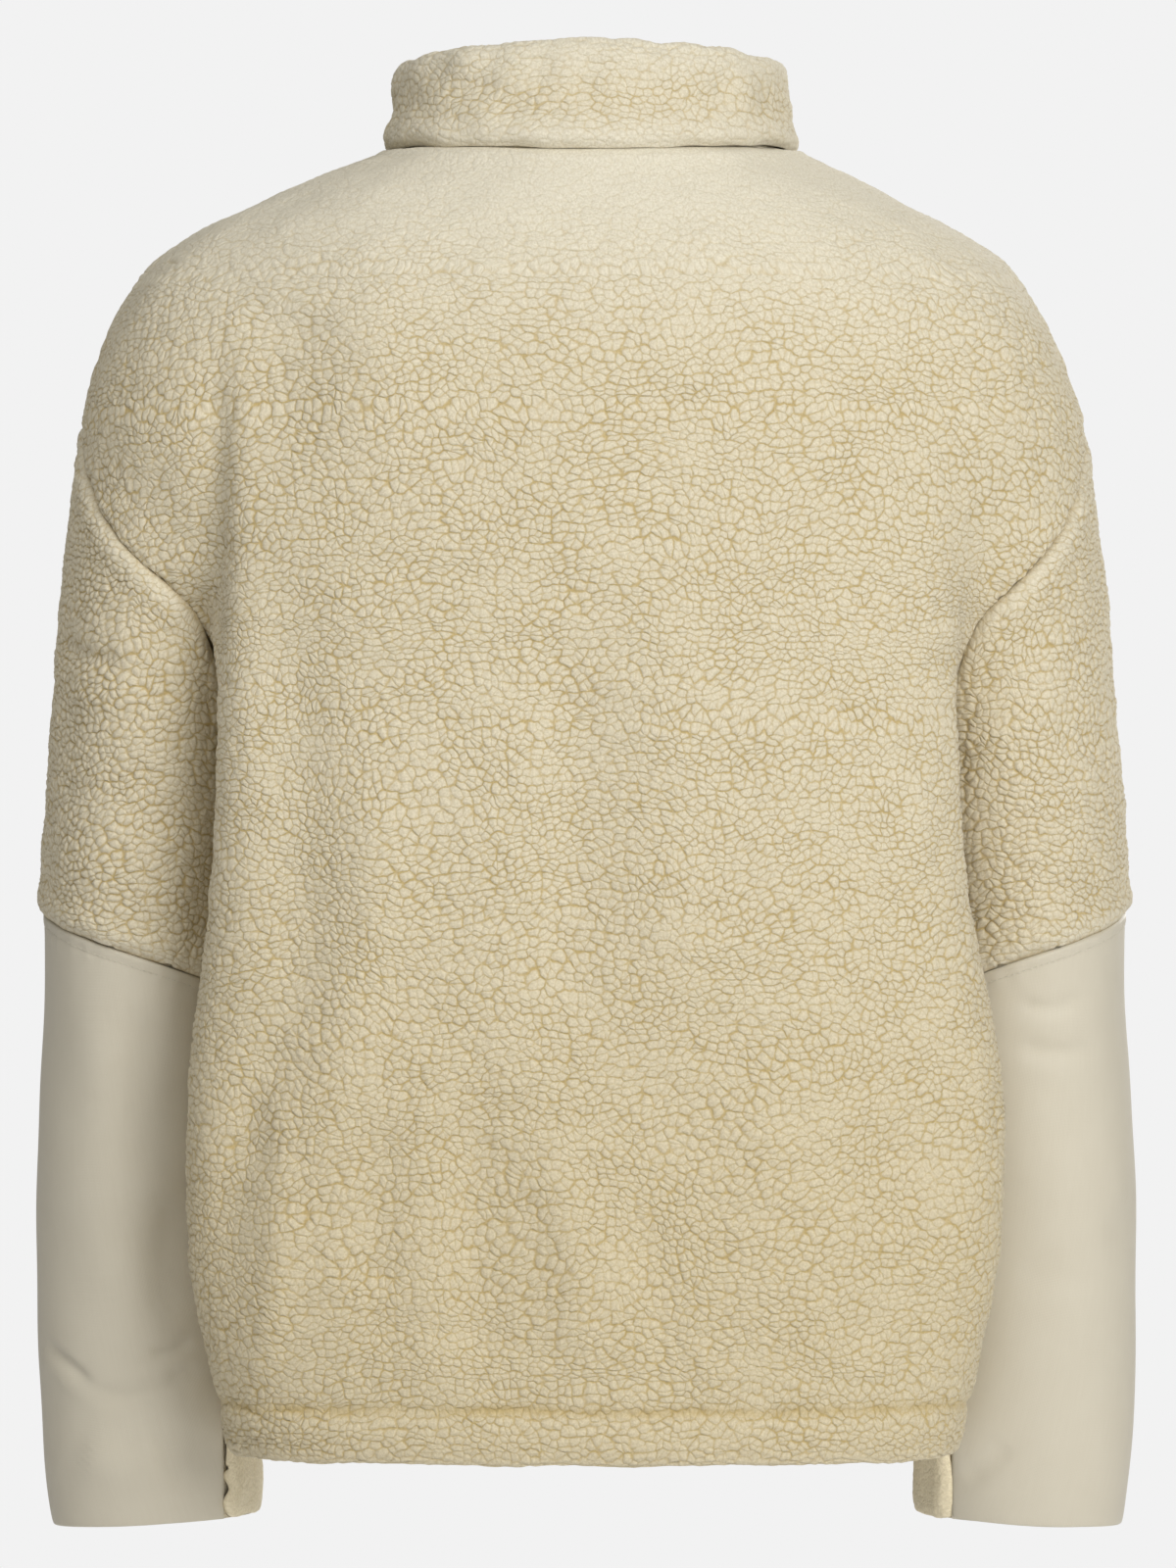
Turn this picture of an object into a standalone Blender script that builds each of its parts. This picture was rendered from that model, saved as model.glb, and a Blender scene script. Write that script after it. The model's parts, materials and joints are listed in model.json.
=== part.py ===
"""A boxy, high-pile fleece jacket, filled out as worn, with no wearer in it.

The cloth is modelled as walls. One outline field gives the outside of the whole garment: at each height
it joins an oval torso with two oval arms, and it carries the large folds. Every panel is cut from that
surface at its seams, and gets its thickness along the surface's own normals.

Millimetres inside the functions, metres in the meshes. +Z is up, the wearer's back faces +Y and the
wearer's left is +X. The origin is the middle of the neck, level with the seam at the back of the collar.
"""

import math

import bpy
import numpy as np
from mathutils import Matrix

MM = 0.001

# Cloth
FLEECE = 5.0  # pile and ground together
FLEECE_DOUBLED = 9.0  # the hem, turned up
WOVEN = 1.5
WOVEN_INSET = 2.5  # the woven panel lies this far under the tops of the pile
SEAM_GAP = 0.34

# Heights of the main seams
BACK_NECK = 0.0
SIDE_NECK = 5.0
FRONT_NECK = -62.0
SHOULDER_TIP = -128.0  # the highest point of the armhole seam
ARMHOLE_BACK_SHAPE, ARMHOLE_FRONT_SHAPE = 1.45, 1.9  # how late the seam falls away from the tip
HEM_STITCH = -623.5
HEM = -651.0
HEM_PUFF, HEM_RISE = 1.2, 7.0  # how far the turned-up hem stands out, and the height it takes to do so
HEM_GROOVE, HEM_GROOVE_WIDE = 1.6, 3.5  # how far its stitch line sinks
HEM_TURN, HEM_TURN_TALL = 2.6, 6.0  # how far the lowest edge rounds in
ELBOW_OUTER, ELBOW_DROP = -379.0, 46.0
CUFF_OUTER, CUFF_RISE = -696.0, 7.0
FOREARM_RADIUS = 62.0  # about, at the seams along the forearm
STRIP_ANGLE = math.radians(135.0)  # where the woven forearm panel ends and the inner strip begins
SHOULDER_SEAM_ANGLE = math.radians(96.0)  # round the neck, from the middle of the back
FRONT_NECK_FIRST = math.radians(100.0)
SEAM_COLUMNS = ("height", "y")
SEAM = np.array((  # the side seam, and above the armhole the shoulder seam
    (HEM, -30), (-400, -36.5), (SHOULDER_TIP, -22), (-62, -15), (SIDE_NECK, -10),
))

# Front closing
FRONT_EDGE = 9.0  # each front stops this far from the middle
TAPE_IN, TAPE_OUT = 3.3, 8.66
TAPE_THICK, TAPE_SUNK = 1.2, 2.2
CHAIN_HALF, CHAIN_THICK, CHAIN_SUNK = 3.0, 2.6, 1.4
SLIDER_WIDE, SLIDER_TALL, SLIDER_THICK = 10.4, 11.0, 3.6
SLIDER_BACK = -1.85  # its back, counted outward from the tops of the pile
PULL_WIDE, PULL_LONG, PULL_THICK = 6.0, 26.0, 1.6
LUG_RADIUS, LUG_WIDE = 2.2, 1.6
BOX_TALL = 11.0

# Cells across each panel
BACK_HALF_CELLS = 10
FRONT_CELLS = 10
SLEEVE_CELLS = 24
ARMHOLE_FINE = 121  # directions at which the armhole seam is measured, to space its points evenly
FOOT_CELLS = {1: 3, -1: 1}  # cells of the armhole seam that run level under the arm, back and front
SLEEVE_ROWS = 9
FOREARM_ROWS = 10
WOVEN_CELLS, STRIP_CELLS = 18, 6  # each as wide as a cell of the upper sleeve
ZIP_ROWS = 28

TORSO_COLUMNS = ("height", "half_width", "back", "front", "widest_at", "dent", "dent_at", "shift", "power")
TORSO = np.array((
    (8, 90, 78, -46, 0, 0, 0, -3, 2.0),
    (5, 98, 80, -50, 0, 0, 0, -2, 2.0),
    (0, 112, 83, -54, -1, 0, 0, 0, 2.0),
    (-12, 143, 91, -66, -3, 0, 0, 2, 2.05),
    (-36, 186, 103, -83, -6, 0, 0, 5, 2.1),
    (-62, 212, 112, -97, -8, 0, 0, 5, 2.2),
    (-90, 226, 118, -110, -9, 0, 0, 4, 2.3),
    (-128, 225, 123, -124, -2, 2, 0, 3, 2.4),
    (-175, 207, 126, -136, 16, 8, 0, 2, 2.55),
    (-224, 197, 127, -143, 38, 20, -5, 1, 2.6),
    (-275, 193, 127, -146, 56, 32, -10, 0, 2.6),
    (-330, 194, 126, -146, 58, 36, -16, -1, 2.6),
    (-400, 202, 124, -144, 56, 39, -24, -2, 2.6),
    (-474, 211, 121, -140, 52, 41, -34, -4, 2.6),
    (-540, 209, 117, -136, 46, 37, -44, -3, 2.6),
    (-600, 197, 112, -130, 38, 26, -54, -3, 2.5),
    (-635, 188, 107, -124, 30, 16, -60, -3, 2.5),
    (-660, 181, 103, -119, 25, 10, -60, -3, 2.5),
))
DENT_WIDTH = 66.0  # how far along the side the sleeve presses it in

ARM_COLUMNS = ("height", "middle_x", "half_x", "middle_y", "half_y", "blend", "shift")
ARM = np.array((
    (-40, 140, 4, -12, 4, 60, 4),
    (-55, 150, 34, -12, 34, 60, 4),
    (-76, 165, 50, -14, 58, 58, 4),
    (-100, 180, 59, -18, 73, 54, 4),
    (-128, 193, 60, -22, 82, 48, 3),
    (-170, 202, 58.5, -28, 88, 36, 2.5),
    (-214, 210, 56, -33, 90, 26, 2.5),
    (-275, 215.7, 55, -37, 88, 12, 2),
    (-324, 220, 55, -41, 85, 2, 2),
    (-374, 223, 55, -45, 80, 0, 2),
    (-424, 223.5, 55.5, -50, 76, 0, 1.5),
    (-524, 227.5, 57, -60, 69, 0, 1),
    (-624, 226.5, 58, -72, 61, 0, 0.5),
    (-684, 224, 57.5, -80, 55, 0, 0),
    (-700, 222, 55.5, -82, 53, 0, 0),
))
ARM_POWER = 2.15
CREASE_ROUND = 14.0  # the blend used for the cloth's own direction in the crease under the arm
RAY_MARGIN, RAY_STEPS = 2.0, 16
NECK_LEAST, WIDEST, DEEPEST = 30.0, 340.0, 260.0  # bounds of the searches for the surface

# Half the width of the whole jacket down to the sleeve, which the joined torso and arms are fitted to
OUTLINE_COLUMNS = ("height", "half_width")
OUTLINE = np.array((
    (8, 91), (5, 99), (0, 116), (-6.6, 132), (-16.5, 153), (-26.5, 174), (-36.4, 194.7), (-46.3, 209.7),
    (-56.2, 219.5), (-66.2, 226.5), (-76, 232.8), (-86, 238), (-96, 243), (-116, 250.4), (-136, 255),
    (-165, 259.8), (-214, 266),
))

# Folds of the hanging cloth: where each runs from its top to its foot, and how far it stands out (or, below
# nought, sinks). face is 1 on the back and -1 on the front.
FOLD_COLUMNS = ("face", "top", "foot", "top_x", "middle_x", "foot_x", "width", "depth")
FOLDS = np.array((
    (1, -100, -420, 160, 166, 168, 26, 3.0),
    (1, -330, -600, 148, 132, 158, 17, -4.5),
    (1, -440, -610, 82, 118, 146, 20, 4.0),
    (1, -250, -600, -22, -26, -44, 20, -4.0),
    (1, -490, -625, 30, 22, 18, 20, -3.5),
    (1, -430, -610, -10, -18, -20, 26, 3.0),
    (1, -140, -470, -122, -166, -190, 22, -5.0),
    (1, -330, -620, -120, -104, -112, 26, 3.0),
    (-1, -150, -430, 118, 138, 140, 22, -4.5),
    (-1, -300, -600, 92, 104, 84, 24, 3.5),
    (-1, -410, -620, 48, 60, 52, 18, -4.0),
    (-1, -170, -400, -110, -134, -146, 22, -4.0),
    (-1, -340, -610, -70, -88, -104, 24, 3.5),
    (-1, -450, -625, -34, -44, -62, 18, -3.5),
))

# Folds across the sleeves, wearer's left and right: height, direction round the arm in degrees (0 is
# outward, 90 the back), how far round it reaches, its width up and down, and its depth.
ARM_FOLD_SLANT = 0.12  # millimetres down for each degree round the arm
ARM_FOLD_COLUMNS = ("side", "height", "angle", "reach", "width", "depth")
ARM_FOLDS = np.array((
    (1, -318, 60, 70, 14, -1.6),
    (1, -350, 100, 60, 16, 2.2),
    (1, -560, 95, 70, 16, -2.0),
    (1, -625, 60, 60, 9, -3.0),
    (1, -440, -60, 70, 18, -2.4),
    (1, -410, -90, 60, 18, 2.4),
    (-1, -330, 75, 70, 16, 2.0),
    (-1, -436, 70, 60, 10, -2.0),
    (-1, -462, 80, 60, 9, -1.6),
    (-1, -450, -70, 70, 18, -2.6),
    (-1, -400, -90, 60, 18, 2.2),
    (-1, -600, -60, 60, 12, -2.2),
))

COLLAR_COLUMNS = ("rise", "puff", "thickness")
COLLAR = np.array((
    (0.0, 0.0, 5.0),
    (0.10, 3.4, 8.0),
    (0.26, 4.2, 9.0),
    (0.52, 0.4, 8.5),
    (0.80, 2.4, 9.0),
    (0.94, 1.2, 7.0),
    (1.0, -2.4, 2.6),
))
COLLAR_BACK, COLLAR_SIDE, COLLAR_FRONT = 56.0, 45.0, 68.0  # its height at the back, side and front
COLLAR_LEAN = -7.0  # how far its top sits forward of its foot
COLLAR_NARROWS = 0.985

COLOURS = {
    "fleece": (0.66, 0.57, 0.38, 1.0),
    "woven": (0.60, 0.54, 0.42, 1.0),
    "tape": (0.58, 0.51, 0.36, 1.0),
    "metal": (0.55, 0.53, 0.48, 1.0),
}


def smooth_column(table, column, heights):
    """One column of a table at any heights, with no overshoot between its rows."""
    rows = table[np.argsort(table[:, 0])]
    at, value = rows[:, 0], rows[:, column]
    step, slope = np.diff(at), np.diff(value) / np.diff(at)
    both = slope[1:] * slope[:-1]
    total = slope[1:] + slope[:-1]
    inner = np.where(both > 0, 2 * both / np.where(both > 0, total, 1), 0)
    tangent = np.concatenate(([slope[0]], inner, [slope[-1]]))
    inside = np.clip(heights, at[0], at[-1])
    k = np.clip(np.searchsorted(at, inside) - 1, 0, len(at) - 2)
    t = (inside - at[k]) / step[k]
    start = (1 + 2 * t) * (1 - t) ** 2 * value[k] + t * (1 - t) ** 2 * step[k] * tangent[k]
    end = t * t * (3 - 2 * t) * value[k + 1] - t * t * (1 - t) * step[k] * tangent[k + 1]
    return start + end


def smooth_step(t):
    t = np.clip(t, 0, 1)
    return t * t * (3 - 2 * t)


def oval_distance(x, y, half_x, half_y, power):
    """How far a point lies outside an oval, measured along the line to the oval's middle."""
    reach = np.maximum(np.hypot(x, y), 1e-6)
    times = ((np.abs(x) / half_x) ** power + (np.abs(y) / half_y) ** power) ** (1 / power)
    return reach * (1 - 1 / np.maximum(times, 1e-9))


def fold_rows(table, like):
    """A fold table's columns, each shaped to be worked out at every point of an array at once."""
    return [values.reshape((-1,) + (1,) * np.ndim(like)) for values in table.T]


def fold_height(x, y, section):
    """How far the torso's folds lift its surface at a point."""
    from_ridge = y - section.torso_widest_at
    facing = np.where(section.fold_face > 0, smooth_step(from_ridge / 25), smooth_step(-from_ridge / 25))
    ridge = np.exp(-(((x - section.fold_x) / section.fold_width) ** 2))
    return (section.fold_lift * facing * ridge).sum(axis=0)


def arm_fold_height(side, z, angle):
    """How far the folds across a sleeve lift its surface, by height and direction round the arm."""
    fold_side, height, middle, reach, width, depth = fold_rows(ARM_FOLDS, angle)
    turn = (np.degrees(angle) - middle + 180) % 360 - 180
    slant = height + ARM_FOLD_SLANT * turn
    here = np.exp(-2 * (turn / reach) ** 2 - ((z - slant) / width) ** 2)
    return (np.where(side == fold_side, depth, 0) * here).sum(axis=0)


class Section:
    """The outline's sizes at some heights, read once and used for many points."""

    def __init__(self, heights):
        self.z = np.asarray(heights, float)
        for index, name in enumerate(TORSO_COLUMNS[1:], 1):
            setattr(self, "torso_" + name, smooth_column(TORSO, index, self.z))
        for index, name in enumerate(ARM_COLUMNS[1:], 1):
            setattr(self, "arm_" + name, smooth_column(ARM, index, self.z))
        self.has_arm = self.z < ARM[0, 0]
        self.widen = np.interp(self.z, FIT_HEIGHTS, FIT)
        face, top, foot, top_x, middle_x, foot_x, width, depth = fold_rows(FOLDS, self.z)
        t = np.clip((top - self.z) / (top - foot), 0, 1)
        self.fold_x = top_x * (1 - t) * (1 - 2 * t) + 4 * middle_x * t * (1 - t) + foot_x * t * (2 * t - 1)
        self.fold_lift = depth * smooth_step(3 * t) * smooth_step(4 * (1 - t))
        self.fold_face, self.fold_width = face, width


def fit_outline():
    """The stretch across that gives the joined shape the jacket's own outline, by height."""
    depth_steps = np.linspace(-55, 25, 9)
    y, z = np.meshgrid(depth_steps, FIT_HEIGHTS)
    section = Section(z)
    low, high = np.full(z.shape, NECK_LEAST), np.full(z.shape, WIDEST)
    reach = bisect(lambda x: outline_distance(x + section.torso_shift, y, section), low, high)
    target = smooth_column(OUTLINE, 1, FIT_HEIGHTS)
    fade = smooth_step((FIT_HEIGHTS - OUTLINE[-1, 0]) / 50)
    return 1 + fade * (reach.max(axis=1) / target - 1)


def torso_distance(x, y, section):
    across = section.torso_shift + (x - section.torso_shift) * section.widen
    dent = section.torso_dent * np.exp(-(((y - section.torso_dent_at) / DENT_WIDTH) ** 2))
    from_side = np.abs(across - section.torso_shift) + dent
    from_ridge = y - section.torso_widest_at
    behind = from_ridge > 0
    deep = np.where(behind, section.torso_back - section.torso_widest_at,
                    section.torso_widest_at - section.torso_front)
    plain = oval_distance(from_side, from_ridge, section.torso_half_width, deep, section.torso_power)
    return plain - fold_height(x, y, section)


def arm_distance(x, y, section, side):
    across = section.torso_shift + (x - section.torso_shift) * section.widen
    from_arm = side * (across - section.arm_shift) - section.arm_middle_x
    from_middle = y - section.arm_middle_y
    plain = oval_distance(from_arm, from_middle, section.arm_half_x, section.arm_half_y, ARM_POWER)
    angle = np.arctan2(from_middle, from_arm)
    return plain - arm_fold_height(side, section.z, angle)


def outline_distance(x, y, section, least_blend=0.5):
    """The joined outline: the torso, and above the armpits the arms, run together over a blend."""
    torso = torso_distance(x, y, section)
    arm = arm_distance(x, y, section, np.where(x >= section.torso_shift, 1.0, -1.0))
    arm = np.where(section.has_arm, arm, 1000.0)
    blend = np.maximum(section.arm_blend, least_blend)
    overlap = np.maximum(blend - np.abs(torso - arm), 0) / blend
    return np.minimum(torso, arm) - overlap * overlap * blend / 4


def level_gradient(x, y, section, step=0.4):
    east = outline_distance(x + step, y, section) - outline_distance(x - step, y, section)
    north = outline_distance(x, y + step, section) - outline_distance(x, y - step, section)
    return east / (2 * step), north / (2 * step)


def arm_middle(section, side):
    across = side * section.arm_middle_x + section.arm_shift
    return section.torso_shift + (across - section.torso_shift) / section.widen, section.arm_middle_y


def ray_from_arm(angle, section, side):
    """Search outward from the middle of the arm in one direction: how far the surface is, and whether
    the sleeve is clear of the torso there."""
    middle_x, middle_y = arm_middle(section, side)
    east, north = side * np.cos(angle), np.sin(angle)

    def outside(radius, measure):
        return measure(middle_x + radius * east, middle_y + radius * north, section, side)

    plain = ((np.abs(east) / section.arm_half_x) ** ARM_POWER
             + (np.abs(north) / section.arm_half_y) ** ARM_POWER) ** (-1 / ARM_POWER)
    alone = bisect(lambda radius: outside(radius, arm_distance), 0.8 * plain, 1.2 * plain + 6)
    out, found = alone, np.zeros(alone.shape, bool)
    step = (section.arm_blend / 4 + RAY_MARGIN) / RAY_STEPS
    for _ in range(RAY_STEPS):
        out = np.where(found, out, out + step)
        found = found | (outside(out, joined_distance) > 0)
    surface = bisect(lambda radius: outside(radius, joined_distance), out - step, out)
    return np.where(found, np.maximum(surface, 0.97 * alone), alone), found


def bisect(value, low, high, turns=28):
    """Where a value rises past nought between two bounds, element by element."""
    for _ in range(turns):
        middle = (low + high) / 2
        below = value(middle) < 0
        low, high = np.where(below, middle, low), np.where(below, high, middle)
    return low


def joined_distance(x, y, section, _side):
    return outline_distance(x, y, section)


def sleeve_point(angle, heights, side):
    section = Section(heights)
    radius, _ = ray_from_arm(angle, section, side)
    middle_x, middle_y = arm_middle(section, side)
    return np.stack((middle_x + side * radius * np.cos(angle),
                     middle_y + radius * np.sin(angle),
                     section.z + 0 * radius), -1)


def crease_height(angle, side):
    """The height at which the sleeve, in one direction, comes clear of the torso."""
    def clear(heights):
        return np.where(ray_from_arm(angle, Section(heights), side)[1], 1.0, -1.0)

    depth = bisect(lambda depth: clear(-depth), np.full(angle.shape, 140.0), np.full(angle.shape, 340.0), 16)
    return -depth


def armhole_height(angle, side):
    """The armhole seam: a drop from the shoulder's tip, which ends in the crease under the arm."""
    turn = np.abs(angle)
    creased = crease_height(angle, side)
    drop = SHOULDER_TIP - crease_height(np.array((math.pi,)), side)[0]
    shape = np.where(angle > 0, ARMHOLE_BACK_SHAPE, ARMHOLE_FRONT_SHAPE)
    drawn = SHOULDER_TIP - drop * np.sin(turn / 2) ** shape
    return np.where(turn > math.radians(60), np.minimum(drawn, creased), drawn)


def surface_normal(points):
    """The outline's outward direction, rounded a little where the arm and the torso meet."""
    x, y, z = points[..., 0], points[..., 1], points[..., 2]
    step = 0.7
    at, above, below = Section(z), Section(z + step), Section(z - step)
    least_blend = 0.5 + CREASE_ROUND * smooth_step((z + 330) / 60)
    east = outline_distance(x + step, y, at, least_blend) - outline_distance(x - step, y, at, least_blend)
    north = outline_distance(x, y + step, at, least_blend) - outline_distance(x, y - step, at, least_blend)
    up = outline_distance(x, y, above, least_blend) - outline_distance(x, y, below, least_blend)
    return unit(np.stack((east, north, up), -1))


def unit(vectors):
    return vectors / np.maximum(np.linalg.norm(vectors, axis=-1, keepdims=True), 1e-9)


def neck_height(angle):
    """The neck seam's height by direction round the neck, nought at the middle of the back."""
    past_side = np.maximum(np.abs(angle) - math.pi / 2, 0)
    rise = (SIDE_NECK - BACK_NECK) * np.sin(np.minimum(np.abs(angle), math.pi / 2)) ** 2
    return BACK_NECK + rise - (SIDE_NECK - FRONT_NECK) * np.sin(past_side) ** 2


def neck_point(angle):
    """The neck seam, on the outline, by direction round the neck."""
    section = Section(neck_height(angle))
    east, north = np.sin(angle), np.cos(angle)
    low, high = np.full(np.shape(angle), NECK_LEAST), np.full(np.shape(angle), WIDEST)
    radius = bisect(lambda out: outline_distance(out * east, out * north, section), low, high)
    return np.stack((radius * east, radius * north, section.z), -1)


def neck_normal(points):
    """Half way between the body's normal and the collar's, so that both edges meet squarely."""
    flat = points * (1, 1, 0)
    return unit(surface_normal(points) + unit(flat))


def seam_line(heights):
    """Where the side seam and the shoulder seam lie, front to back."""
    return np.interp(heights, SEAM[:, 0], SEAM[:, 1])


class Walk:
    """Level curves of the outline, followed from the middle of the back or front to past the side."""

    STEP, COUNT = 1.6, 300

    def __init__(self, heights, face, side):
        self.section = Section(heights)
        self.face, self.side = face, side
        x, y = np.zeros(len(heights)), self.middle_of_face()
        heading = (np.full(len(heights), float(side)), np.zeros(len(heights)))
        track = [(x, y)]
        for _ in range(self.COUNT):
            east, north = level_gradient(x, y, self.section)
            size = np.maximum(np.hypot(east, north), 1e-6)
            along = np.stack((-north / size, east / size))
            along = along * np.where(along[0] * heading[0] + along[1] * heading[1] < 0, -1, 1)
            heading = along
            x, y = x + self.STEP * along[0], y + self.STEP * along[1]
            for _ in range(2):
                x, y = self.settle(x, y)
            track.append((x, y))
        self.points = np.array(track).transpose(2, 0, 1)
        step = np.linalg.norm(np.diff(self.points, axis=1), axis=2)
        self.length = np.concatenate((np.zeros((len(heights), 1)), np.cumsum(step, axis=1)), axis=1)

    def middle_of_face(self):
        near = self.section.torso_widest_at
        return bisect(lambda y: outline_distance(0 * y, y, self.section), near, near + self.face * DEEPEST)

    def settle(self, x, y):
        east, north = level_gradient(x, y, self.section)
        size = np.maximum(east * east + north * north, 0.05)
        off = np.clip(outline_distance(x, y, self.section), -2, 2)
        return x - off * east / size, y - off * north / size

    def length_where(self, row, values, target):
        """The length at which a falling run of values first passes the target."""
        past = np.nonzero(values[row] < target)[0]
        k = past[0] if len(past) else values.shape[1] - 1
        if k == 0:
            return 0.0
        before, after = values[row][k - 1], values[row][k]
        t = (before - target) / max(before - after, 1e-9)
        return self.length[row][k - 1] + t * (self.length[row][k] - self.length[row][k - 1])

    def length_to_y(self, row, y):
        return self.length_where(row, self.face * self.points[:, :, 1], self.face * y)

    def length_to_x(self, row, x):
        return self.length_where(row, -np.abs(self.points[:, :, 0]), -x)

    def length_to_point(self, row, point):
        path = self.points[row]
        before, after = path[:-1], path[1:]
        way = after - before
        t = np.clip(((point[:2] - before) * way).sum(-1) / np.maximum((way * way).sum(-1), 1e-9), 0, 1)
        off = np.linalg.norm(before + t[:, None] * way - point[:2], axis=-1)
        k = int(np.argmin(off))
        return self.length[row][k] + t[k] * (self.length[row][k + 1] - self.length[row][k])

    def between(self, row, start, end, fractions):
        lengths = start + (end - start) * fractions
        x = np.interp(lengths, self.length[row], self.points[row, :, 0])
        y = np.interp(lengths, self.length[row], self.points[row, :, 1])
        return np.stack((x, y, np.full(len(lengths), self.section.z[row])), -1)


def crowd_outward(count):
    """Fractions from nought to one, closer together toward the side, where the surface turns."""
    u = np.linspace(0, 1, count + 1)
    return 1 - (1 - u) ** 1.2


def armhole(side):
    """The armhole seam's points, evenly spaced from the shoulder's tip round by the back, with their
    normals and the direction across the seam toward the sleeve."""
    half = SLEEVE_CELLS // 2
    angles = []
    for face in (1, -1):
        fine = face * np.linspace(0, math.pi, ARMHOLE_FINE)
        path = sleeve_point(fine, armhole_height(fine, side), side)
        step = np.linalg.norm(np.diff(path, axis=0), axis=1)
        share = np.concatenate(((0,), np.cumsum(step) / step.sum()))
        angles.append(np.interp(np.linspace(0, 1, half + 1), share, fine))
    angle = np.concatenate((angles[0], angles[1][-2:0:-1]))
    points = sleeve_point(angle, armhole_height(angle, side), side)
    normals = surface_normal(points)
    along = np.roll(points, -1, 0) - np.roll(points, 1, 0)
    across = side * unit(np.cross(along, normals))
    return {"angle": angle, "points": points, "normals": normals, "across": across}


def armhole_order(face):
    """The armhole points a panel's rows end at, from the tip down, and those along its foot."""
    half = SLEEVE_CELLS // 2
    order = list(range(half + 1)) if face > 0 else [0] + list(range(SLEEVE_CELLS - 1, half - 1, -1))
    split = len(order) - FOOT_CELLS[face]
    return order[:split], order[split:]


def hem_shape(heights):
    """How far the surface stands out by the turned-up hem, and how thick the cloth is there."""
    in_hem = smooth_step((HEM_STITCH - heights) / HEM_RISE)
    groove = HEM_GROOVE * np.exp(-(((heights - HEM_STITCH) / HEM_GROOVE_WIDE) ** 2))
    turn = HEM_TURN * smooth_step((HEM - heights) / HEM_TURN_TALL + 1)
    puff = HEM_PUFF * in_hem - groove - turn
    thick = FLEECE - 0.4 * groove + (FLEECE_DOUBLED - FLEECE) * in_hem - 2.2 * turn
    return puff, thick


def body_panel_half(face, side, fractions, start_x):
    """One half of the back, or one front: its outer points and normals, a row for each height. Rows above
    the armhole's foot are shorter, so their last columns are left empty."""
    ring = ARMHOLES[side]
    ends, foot = armhole_order(face)
    above = np.concatenate((NECK_ROWS, SHOULDER_ROWS))
    armhole_rows = ring["points"][ends, 2]
    heights = np.concatenate((above, armhole_rows, SIDE_ROWS))
    walk = Walk(heights, face, side)
    columns = len(fractions) + len(foot)
    points = np.full((len(heights), columns, 3), np.nan)
    normals = points.copy()
    low_fractions = None
    for row, z in enumerate(heights):
        start = walk.length_to_x(row, start_x) if start_x else 0.0
        if face < 0 and row < len(NECK_ROWS):
            start = walk.length_to_point(row, neck_point(side * NECK_ANGLES[row + 1:row + 2])[0])
        if row < len(above):
            end = walk.length_to_y(row, seam_line(z) + face * SEAM_GAP / 2)
            line = walk.between(row, start, end, fractions)
            normal = surface_normal(line)
        elif row < len(above) + len(ends):
            index = ends[row - len(above)]
            end = walk.length_to_point(row, ring["points"][index])
            line = walk.between(row, start, end, fractions)
            normal = surface_normal(line)
            line[-1], normal[-1] = armhole_edge(ring, index, face)
            if row == len(above) + len(ends) - 1:
                edge = [armhole_edge(ring, k, face) for k in foot]
                line = np.concatenate((line, [point for point, _ in edge]))
                normal = np.concatenate((normal, [direction for _, direction in edge]))
                step = np.linalg.norm(np.diff(line, axis=0), axis=1)
                low_fractions = np.concatenate(((0,), np.cumsum(step) / step.sum()))
        else:
            end = walk.length_to_y(row, seam_line(z) + face * SEAM_GAP / 2)
            line = walk.between(row, start, end, low_fractions)
            normal = surface_normal(line)
        points[row, :len(line)] = line
        normals[row, :len(line)] = normal
    return points, normals


def armhole_edge(ring, index, face):
    """A body panel's own point on the armhole seam, half a gap short of it."""
    point = ring["points"][index] - ring["across"][index] * SEAM_GAP / 2
    if index in (0, SLEEVE_CELLS // 2):
        point = point + np.array((0, face * SEAM_GAP / 2, 0))
    return point, ring["normals"][index]


def neck_edge(angles, columns):
    """A panel's top edge: the neck seam, lowered by half a gap and squared to the collar."""
    seam = neck_point(angles)
    points = np.full((1, columns, 3), np.nan)
    normals = points.copy()
    points[0, :len(seam)] = seam - (0, 0, SEAM_GAP / 2)
    normals[0, :len(seam)] = neck_normal(seam)
    return points, normals


def back_panel():
    fractions = crowd_outward(BACK_HALF_CELLS)
    halves = []
    for side in (-1, 1):
        points, normals = body_panel_half(1, side, fractions, 0)
        top, top_normals = neck_edge(side * SHOULDER_SEAM_ANGLE * fractions, points.shape[1])
        halves.append((np.concatenate((top, points)), np.concatenate((top_normals, normals))))
    right, left = halves
    outer = np.concatenate((right[0][:, :0:-1], left[0]), axis=1)
    normal = np.concatenate((right[1][:, :0:-1], left[1]), axis=1)
    return cloth_wall("back_panel", outer, normal)


def front_panel(name, side):
    fractions = np.linspace(0, 1, FRONT_CELLS + 1)
    points, normals = body_panel_half(-1, side, fractions, FRONT_EDGE)
    angles = FRONT_NECK_FIRST + (SHOULDER_SEAM_ANGLE - FRONT_NECK_FIRST) * fractions
    top, top_normals = neck_edge(side * angles, points.shape[1])
    return cloth_wall(name, np.concatenate((top, points)), np.concatenate((top_normals, normals)))


def cloth_wall(name, outer, normal):
    """A body panel's wall of cloth behind its outer points, shaped by the hem."""
    puff, thick = hem_shape(outer[..., 2])
    lifted = outer + normal * puff[..., None]
    return grid_solid(name, lifted, lifted - normal * thick[..., None])


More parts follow.
